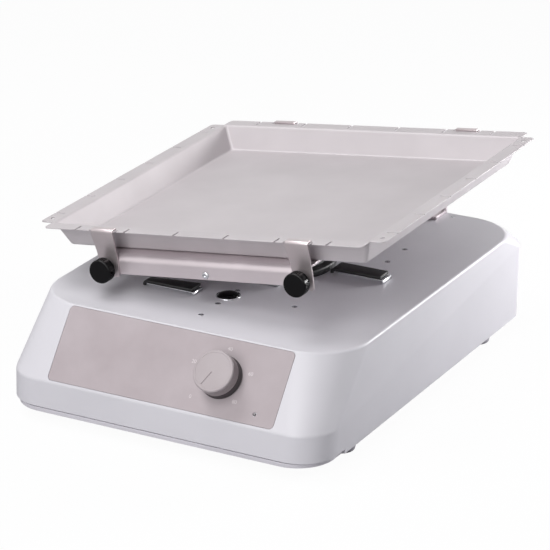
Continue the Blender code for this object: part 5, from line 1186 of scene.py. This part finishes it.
@dataclass
class Platform:
    """What rocks: the folded carrier, its shaft, saddles and end screws, and the tray."""

    carrier_half_width: float = 102.0
    carrier_half_depth: float = 164.5
    carrier_sheet: float = 2.0
    carrier_top: float = 13.1
    flange_low: float = -4.2
    tray_half_width: float = 172.0
    tray_half_depth: float = 169.5
    rim_width: float = 15.0
    rim_top: float = 36.6
    floor_low: float = 13.4
    sheet: float = 1.0
    wall_lean: float = 9.0
    notch_pitch_x: float = 50.0
    notch_pitch_y: float = 51.5

    def make_carrier(self) -> None:
        """Fold the carrier, round its flange ends and drill it."""
        half = self.carrier_sheet / 2
        front, back = TRAY_Y - self.carrier_half_depth, TRAY_Y + self.carrier_half_depth
        top = self.carrier_top - half
        work = Workpiece().bend_strip(
            (
                (front + half, self.flange_low), (front + half, top), (back - half, top),
                (back - half, self.flange_low)
            ),
            (0, 5.6, 2.8, 0),
            self.carrier_half_width,
            8,
        )
        work.thicken(self.carrier_sheet)
        low, side = self.flange_low * MM, self.carrier_half_width * MM
        corners = [
            e for e in work.bm.edges
            if all(abs(v.co.z - low) < 1e-5 and abs(abs(v.co.x) - side) < 1e-5 for v in e.verts)
            and abs(e.verts[0].co.y - e.verts[1].co.y) > MM
        ]
        work.round_edges(corners, 4, 5)
        cutter = Workpiece()
        for y in (front, back):
            for x in (-CLIP_X, CLIP_X):
                cutter.bar(2.7, (x, y - 4, CLIP_Z), (x, y + 4, CLIP_Z), 24)
            cutter.bar(2.3, (0, y - 4, 0), (0, y + 4, 0), 24)
        work.combine(cutter).soften(0.3, 2, 50)
        work.deliver("folded_carrier", CARRIER_COAT, "platform", ["platform_carrier"], ROCK, even=True)
        nuts = Workpiece()
        for y, turn in ((front + 2.3, BACKWARD), (back - 2.3, UPRIGHT)):
            for x in (-CLIP_X, CLIP_X):
                nut = Workpiece().turn(((2.7, 0), (4.5, 0, 0.4), (4.5, 4.7, 0.4), (2.7, 4.7), (2.7, 0)), 32)
                nuts.add(nut, at(x, y, CLIP_Z) @ turn)
        nuts.deliver("rivet_nuts", TURNED_STEEL, "platform", place=ROCK)

    def make_shaft(self) -> None:
        """Turn the pivot shaft with its chamfered ends, and the screws that hold it."""
        front = TRAY_Y - self.carrier_half_depth + 2.3
        length = 2 * (self.carrier_half_depth - 2.3)
        Workpiece().turn(
            (
                (2.3, 10), (2.3, 0), (5, 0, 0.5), (5, 78), (4.7, 78.2), (4.7, 79.2), (5, 79.4),
                (5, length, 0.5), (2.3, length), (2.3, length - 10)
            ),
            48,
            2,
        ).deliver("turned_shaft", TURNED_STEEL, "platform", ["pivot_shaft"],
        ROCK @ at(0, front, 0) @ BACKWARD)
        outside = self.carrier_half_depth + GAP
        for name, sign in (("front", -1), ("back", 1)):
            head = Workpiece().turn(
                ((0, 1.2), (2.6, 1.1, 0.6), (3.3, 0, 0), (2, 0), (2, -10), (0, -10)), 40
            )
            head.combine(Workpiece().bar(1.3, (0, 0, 0.3), (0, 0, 4), 6))
            place = ROCK @ at(0, TRAY_Y + sign * outside, 0) @ Matrix.Rotation(-sign * QUARTER, 4, "X")
            head.deliver(f"end_screw_{name}", TURNED_STEEL, "platform", [f"shaft_screw_{name}"], place)

    def make_saddles(self) -> None:
        """Cast the two saddles that carry the sheet on the shaft."""
        under = self.carrier_top - self.carrier_sheet - GAP
        for name, y in (("front", -25), ("back", 150)):
            work = Workpiece()
            face = work.face(((-14, under), (-9.5, -8), (9.5, -8), (14, under)), (0, 6, 6, 0))
            work.rise(face, (0, 0, 16))
            work.soften(0.5, 2, 55)
            work.combine(Workpiece().bar(5.3, (0, 0, -2), (0, 0, 18)))
            place = ROCK @ at(0, y + 8, 0) @ UPRIGHT
            work.deliver(f"cast_saddle_{name}", CAST_METAL, "platform", [f"saddle_{name}"], place)

    def make_tray(self) -> None:
        """Fold the tray from sheet, then cut its rim slots, corners and corner holes."""
        work = Workpiece()
        half = self.sheet / 2
        rim_z, floor_z = self.rim_top - half, self.floor_low + half
        rings = []
        wall_x, wall_y = self.tray_half_width - self.rim_width, self.tray_half_depth - self.rim_width
        for half_x, half_y, radius, z in (
            (self.tray_half_width, self.tray_half_depth, 4, rim_z), (wall_x, wall_y, 3, rim_z),
            (wall_x - self.wall_lean, wall_y - self.wall_lean, 3, floor_z)
        ):
            rings.append(work.rectangle(half_x, (TRAY_Y - half_y, TRAY_Y + half_y), (radius, radius), z, 5))
        loops = [list(face.edges) for face in rings]
        bmesh.ops.delete(work.bm, geom=rings[:2], context="FACES_ONLY")
        work.skin(loops)
        work.round_edges(loops[1] + loops[2], 1.8, 4)
        work.thicken(self.sheet)
        work.combine(self.tray_cutter())
        spots = []
        for x in (-1, 1):
            for y in (-1, 1):
                spots.append((x * 158.5, TRAY_Y + y * self.tray_half_depth))
                spots.append((x * self.tray_half_width, TRAY_Y + y * 154))
        work.round_edges(work.edges_at(spots), 5.5, 5)
        work.soften(0.2, 1, 60)
        work.deliver("folded_tray", TRAY_STEEL, "platform", ["tray"], ROCK, even=True)

    def tray_cutter(self) -> Workpiece:
        """Gather the slots across the rim, the corner squares and the corner holes.

        Returns:
            The solids to cut away.
        """
        work = Workpiece()
        low, high = self.rim_top - 4, self.rim_top + 3
        for k in range(6):
            for side in (-1, 1):
                x = (k - 2.5) * self.notch_pitch_x
                y = TRAY_Y + side * (self.tray_half_depth - 4.5)
                slot = Workpiece().slab(0.9, (-6, 6), 0.6, (low, high), 3)
                work.add(slot, at(x, y, 0))
                y = TRAY_Y + (k - 2.5) * self.notch_pitch_y
                x = side * (self.tray_half_width - 4.5)
                work.add(slot, at(x, y, 0) @ Matrix.Rotation(QUARTER, 4, "Z"))
        for side in (-1, 1):
            for end in (-1, 1):
                for offset in (-13, 13):
                    x = side * CLIP_X + offset
                    y = TRAY_Y + end * (self.tray_half_depth - 1.8)
                    work.block((x - 0.8, y - 2.7, low), (x + 0.8, y + 2.7, high))
                hole = Workpiece().slab(1.7, (-2.6, 2.6), 1.6, (low, high), 6)
                work.add(hole, at(side * 165, TRAY_Y + end * 143.5, 0))
                xs = sorted((side * 158.5, side * 180))
                ys = sorted((end * 154, end * 178))
                work.block((xs[0], TRAY_Y + ys[0], low), (xs[1], TRAY_Y + ys[1], high))
        return work

    def build(self) -> None:
        """Make everything that rocks."""
        self.make_carrier()
        self.make_shaft()
        self.make_saddles()
        self.make_tray()


@dataclass
class Clamp:
    """One clip over the tray's rim with its knurled thumb screw."""

    name: str
    side: int
    end: int
    sheet: float = 1.5
    top_half_width: float = 11.0
    foot_half_width: float = 9.8
    head_radius: float = 10.8
    facets: int = 72

    def make_clip(self) -> None:
        """Fold the clip, narrow it towards its foot and mirror it for the back."""
        points = ((-164, 37.65), (-170.55, 37.65), (-170.55, 34.1), (-165.55, 12), (-165.55, -6.5))
        work = Workpiece().bend_strip(points, (0, 1.6, 3, 5, 0), self.top_half_width, 5)
        share = self.foot_half_width / self.top_half_width
        narrow = Matrix.Diagonal((share, 1.0, 1.0, 1.0))
        work.move(narrow, [v for v in work.bm.verts if v.co.z < 20 * MM])
        work.thicken(self.sheet)
        foot = [
            e for e in work.bm.edges if all(v.co.z < -6.4 * MM for v in e.verts)
            and abs(e.verts[0].co.x - e.verts[1].co.x) < 1e-5
        ]
        work.round_edges(foot, 2, 4)
        work.combine(Workpiece().bar(2.7, (0, -170, CLIP_Z), (0, -160, CLIP_Z), 24))
        work.soften(0.3, 2, 50)
        flip = Matrix.Diagonal((1.0, -self.end, 1.0, 1.0))
        place = ROCK @ at(self.side * CLIP_X, TRAY_Y, 0) @ flip
        work.deliver(f"folded_clip_{self.name}", CLIP_STEEL, "platform", [f"clip_{self.name}"], place)

    def make_screw(self) -> None:
        """Turn the thumb screw, rib its head and hand it over."""
        radius = self.head_radius
        work = Workpiece().turn(
            (
                (0, 17.8), (8.6, 17.9, 0.4), (radius - 0.7, 17.7, 0.4), (radius, 16.8, 0.4),
                (radius, 8.8, 0.4), (radius - 1.4, 7.6, 0.4), (6.2, 7.6), (6, 2.1, 0.4), (2.4, 2.1),
                (2.4, -8.5, 0.4), (0, -9)
            ),
            self.facets,
            3,
        )
        work.groove(lambda slope, reach, height: slope < 0.2 and reach > radius - 0.3, 0.1, 0.7)
        seat = TRAY_Y + self.end * 164.65
        place = ROCK @ at(self.side * CLIP_X, seat, CLIP_Z)
        place = place @ Matrix.Rotation(-self.end * QUARTER, 4, "X")
        work.deliver(
            f"knurled_screw_{self.name}", BLACK_PHENOLIC, f"clamp_{self.name}",
            [f"thumb_screw_{self.name}"], place, 30.0
        )

    def build(self) -> None:
        """Make the clip and its screw."""
        self.make_clip()
        self.make_screw()


@dataclass
class BackFittings:
    """The mains inlet, the power switch and the fuse holder in the back wall."""

    z: float = 40.0
    inlet_x: float = -50.0
    fuse_x: float = 40.0

    def make_inlet(self) -> None:
        """Mould the inlet: flange, hollow socket and three pins."""
        place = at(self.inlet_x, Housing.back_y + GAP, self.z) @ BACKWARD
        work = Workpiece().slab(17, (-13, 13), 3, (0, 2.5))
        work.soften(0.6, 3, 60)
        work.combine(Workpiece().slab(13.5, (-9.75, 9.75), 2, (-20, 1)), "UNION")
        socket = Workpiece()
        face = socket.face(
            ((-11.8, 8), (-11.8, -4), (-7.8, -8), (7.8, -8), (11.8, -4), (11.8, 8)), (1, 1, 1, 1, 1, 1),
            -14, 4
        )
        socket.rise(face, (0, 0, 20))
        work.combine(socket)
        work.deliver("moulded_inlet", BLACK_NYLON, "housing", ["power_inlet"], place)
        pins = Workpiece()
        for x, y in ((-7, 1.5), (0, -2.5), (7, 1.5)):
            pins.add(Workpiece().slab(1, (-2, 2), 0.4, (-14.5, -2), 2).soften(0.4, 2), at(x, y, 0))
        pins.deliver("inlet_pins", TURNED_STEEL, "housing", place=place)
        screws = Workpiece()
        for x in (-15, 15):
            screws.bar(1.1, (x, 0, 0.5), (x, 0, 2.7), 24)
        screws.soften(0.2, 2).deliver("inlet_rivets", TURNED_STEEL, "housing", place=place)

    def make_switch(self) -> None:
        """Mould the switch frame and its paddle with plain on and off marks."""
        place = at(0, Housing.back_y + GAP, self.z) @ BACKWARD
        work = Workpiece().slab(9.5, (-13, 13), 1.8, (0, 1.8))
        work.soften(0.5, 3, 60)
        work.combine(Workpiece().slab(7.5, (-10.75, 10.75), 1, (-16, 1)), "UNION")
        work.combine(Workpiece().slab(5.8, (-9.1, 9.1), 0.6, (-7.2, 6)))
        work.deliver("moulded_switch_frame", BLACK_NYLON, "housing", ["switch_frame"], place)
        pivot = at(0, Housing.back_y + GAP + 1.8 - 4, self.z) @ Matrix.Rotation(math.radians(8), 4, "X")
        paddle = Workpiece()
        face = paddle.face(
            ((-2.8, -4), (0.6, -8), (3.4, -8), (4.4, 0), (3.4, 8), (0.6, 8), (-2.8, 4)),
            (0.5, 0.5, 0.6, 0, 0.6, 0.5, 0.5), -5.4, 3
        )
        paddle.rise(face, (0, 0, 10.8))
        sideways = Matrix(((0, 0, 1, 0), (1, 0, 0, 0), (0, 1, 0, 0), (0, 0, 0, 1)))
        paddle.move(sideways)
        paddle.soften(0.4, 2, 50)
        paddle.deliver("moulded_paddle", BLACK_NYLON, "power_switch", ["power_rocker"], pivot)
        marks = Workpiece().block((-0.4, 3.7, 3.4), (0.4, 4.1, 6))
        ring = Workpiece().turn(((1.1, 0), (1.5, 0), (1.5, 0.4), (1.1, 0.4), (1.1, 0)), 32)
        marks.add(ring, at(0, 3.7, -5) @ BACKWARD)
        marks.deliver("switch_marks", PALE_INK, "power_switch", place=pivot)

    def make_fuse(self) -> None:
        """Turn the fuse holder with its ribbed cap and coin slot."""
        place = at(self.fuse_x, Housing.back_y + GAP, self.z) @ BACKWARD
        work = Workpiece().turn(
            (
                (0, 5), (6.2, 5, 0.8), (6.6, 3.2, 0.3), (8.5, 3, 0.5), (8.5, 0, 0.2), (6.2, 0),
                (6.2, -28, 0.6), (0, -28)
            ),
            48,
            2,
        )
        work.groove(
            lambda slope, reach, height: slope < 0.3 and 6 < reach < 6.8 and 3.4 < height < 4.4, 0.1, 0.3
        )
        work.combine(Workpiece().block((-4.5, -0.6, 3.6), (4.5, 0.6, 7)))
        work.deliver("fuse_cap", BLACK_NYLON, "housing", ["fuse_holder"], place)

    def build(self) -> None:
        """Make everything on the back wall."""
        self.make_inlet()
        self.make_switch()
        self.make_fuse()


@dataclass
class InnerWorks:
    """The drive and electrical pieces inside, whose frame solids stay and get their finishes."""

    dress: tuple[tuple[Finish, tuple[str, ...]], ...] = (
        (DRIVE_STEEL, (
            "chassis_frame", "rocking_lever", "crank_disc", "motor_bracket", "speed_regulator",
            "regulator_shaft"
        )),
        (STACKED_STEEL, ("gear_motor", "transformer")),
        (
            TURNED_STEEL,
            ("crank_pin", "crank_roller", "crank_shaft", "crank_bearing_front", "crank_bearing_back")
        ),
        (CAST_METAL, ("crank_block_front", "crank_block_back", "crank_pulley")),
        (BEARING_BRONZE, ("motor_pulley", "regulator_nut")),
        (BELT_NEOPRENE, ("drive_belt",)),
        (BOARD_LACQUER, ("control_board",)),
    )

    def build(self) -> None:
        """Give each inner node its finish."""
        for finish, names in self.dress:
            for name in names:
                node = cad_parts[name]
                node.data.materials.clear()
                node.data.materials.append(finish.material())
                LOG.info("%s keeps its shape and gets %s", name, finish.name)


@dataclass
class Studio:
    """Plain pale floor, white surroundings, soft lamps, and the camera."""

    camera_place: tuple[float, float, float] = (1.2069, -2.2123, 1.0714)
    azimuth: float = math.radians(28.57)
    elevation: float = math.radians(21.41)
    lens_mm: float = 196.16
    fill: float = 0.04
    floor_half: float = 6000.0
    floor_share: float = 0.93
    lamps: tuple[tuple[str, tuple[float, float, float], float, float], ...] = (
        ("overhead_softbox", (-0.70, -0.05, 1.75), 1.00, 14.8),
        ("back_right_softbox", (0.62, 0.70, 0.27), 0.30, 7.8),
        ("front_low_softbox", (0.08, -1.95, 0.80), 1.30, 17.8),
        ("front_high_softbox", (-0.20, -1.50, 1.90), 1.30, 18.0),
        ("back_high_softbox", (1.50, 1.20, 1.20), 1.00, 3.5),
    )

    def make_floor(self) -> None:
        """Lay the pale floor, which shows white to the camera and keeps a soft shadow."""
        work = Workpiece()
        face = work.rectangle(self.floor_half, (-self.floor_half, self.floor_half), (0, 0))
        bmesh.ops.subdivide_edges(work.bm, edges=list(face.edges), cuts=1, use_grid_fill=True)
        floor = bpy.data.objects.new("studio_floor", work.mesh("studio_floor"))
        work.bm.free()
        bpy.context.scene.collection.objects.link(floor)
        made = bpy.data.materials.new("matt_white_paper")
        graph = Graph(made)
        camera = graph.add("LightPath", output="Is Camera Ray")
        seen = graph.add("Math", {"operation": "MULTIPLY", 1: self.floor_share}, {0: camera})
        paper = graph.add("BsdfDiffuse", {"Color": srgb("#bdbdc0")})
        white = graph.add("Emission", {"Color": (1, 1, 1, 1), "Strength": 1.03})
        mixed = graph.add("MixShader", None, {0: seen, 1: paper, 2: white})
        graph.add("OutputMaterial", None, {"Surface": mixed})
        floor.data.materials.append(made)

    def make_world(self) -> None:
        """Surround the object with white that the camera and reflections see, and softer fill light."""
        world = bpy.data.worlds.new("white_studio")
        bpy.context.scene.world = world
        graph = Graph(world)
        camera, glossy, through = (
            graph.add("LightPath", output=f"Is {ray} Ray") for ray in ("Camera", "Glossy", "Transmission")
        )
        either = graph.add("Math", {"operation": "MAXIMUM"}, {0: camera, 1: glossy})
        either = graph.add("Math", {"operation": "MAXIMUM"}, {0: either, 1: through})
        strength = graph.add("MapRange", {"To Min": self.fill, "To Max": 1.0}, {"Value": either})
        backdrop = graph.add("Background", {"Color": (1, 1, 1, 1)}, {"Strength": strength})
        graph.add("OutputWorld", None, {"Surface": backdrop})

    def make_lamps(self) -> None:
        """Hang the soft lamps, each turned to the object."""
        for name, place, size, power in self.lamps:
            light = bpy.data.lights.new(name, "AREA")
            light.shape = "DISK"
            light.size = size
            light.energy = power
            lamp = bpy.data.objects.new(name, light)
            lamp.location = place
            aim = Vector((0.0, 0.0, 0.08)) - Vector(place)
            lamp.rotation_euler = aim.to_track_quat("-Z", "Y").to_euler()
            bpy.context.scene.collection.objects.link(lamp)

    def make_camera(self) -> None:
        """Stand the camera where the photographer stood."""
        data = bpy.data.cameras.new("studio_camera")
        data.lens = self.lens_mm
        data.sensor_width = 36.0
        data.clip_start, data.clip_end = 0.05, 50.0
        camera = bpy.data.objects.new("studio_camera", data)
        a, e = self.azimuth, self.elevation
        back = Vector((math.sin(a) * math.cos(e), -math.cos(a) * math.cos(e), math.sin(e)))
        camera.location = self.camera_place
        camera.rotation_euler = (-back).to_track_quat("-Z", "Y").to_euler()
        bpy.context.scene.collection.objects.link(camera)
        bpy.context.scene.camera = camera

    def build(self) -> None:
        """Set up the studio."""
        bpy.context.scene.view_settings.view_transform = "Standard"
        self.make_floor()
        self.make_world()
        self.make_lamps()
        self.make_camera()


def main() -> None:
    """Set up the studio and build every sub-assembly in order."""
    logging.basicConfig(level=logging.INFO, format="%(message)s", force=True)
    Studio().build()
    Housing().build()
    ControlFace().build()
    TopFittings().build()
    Platform().build()
    for end_name, end in (("front", -1), ("back", 1)):
        for side_name, side in (("left", -1), ("right", 1)):
            Clamp(f"{end_name}_{side_name}", side, end).build()
    BackFittings().build()
    InnerWorks().build()


if __name__ == "__main__":
    main()
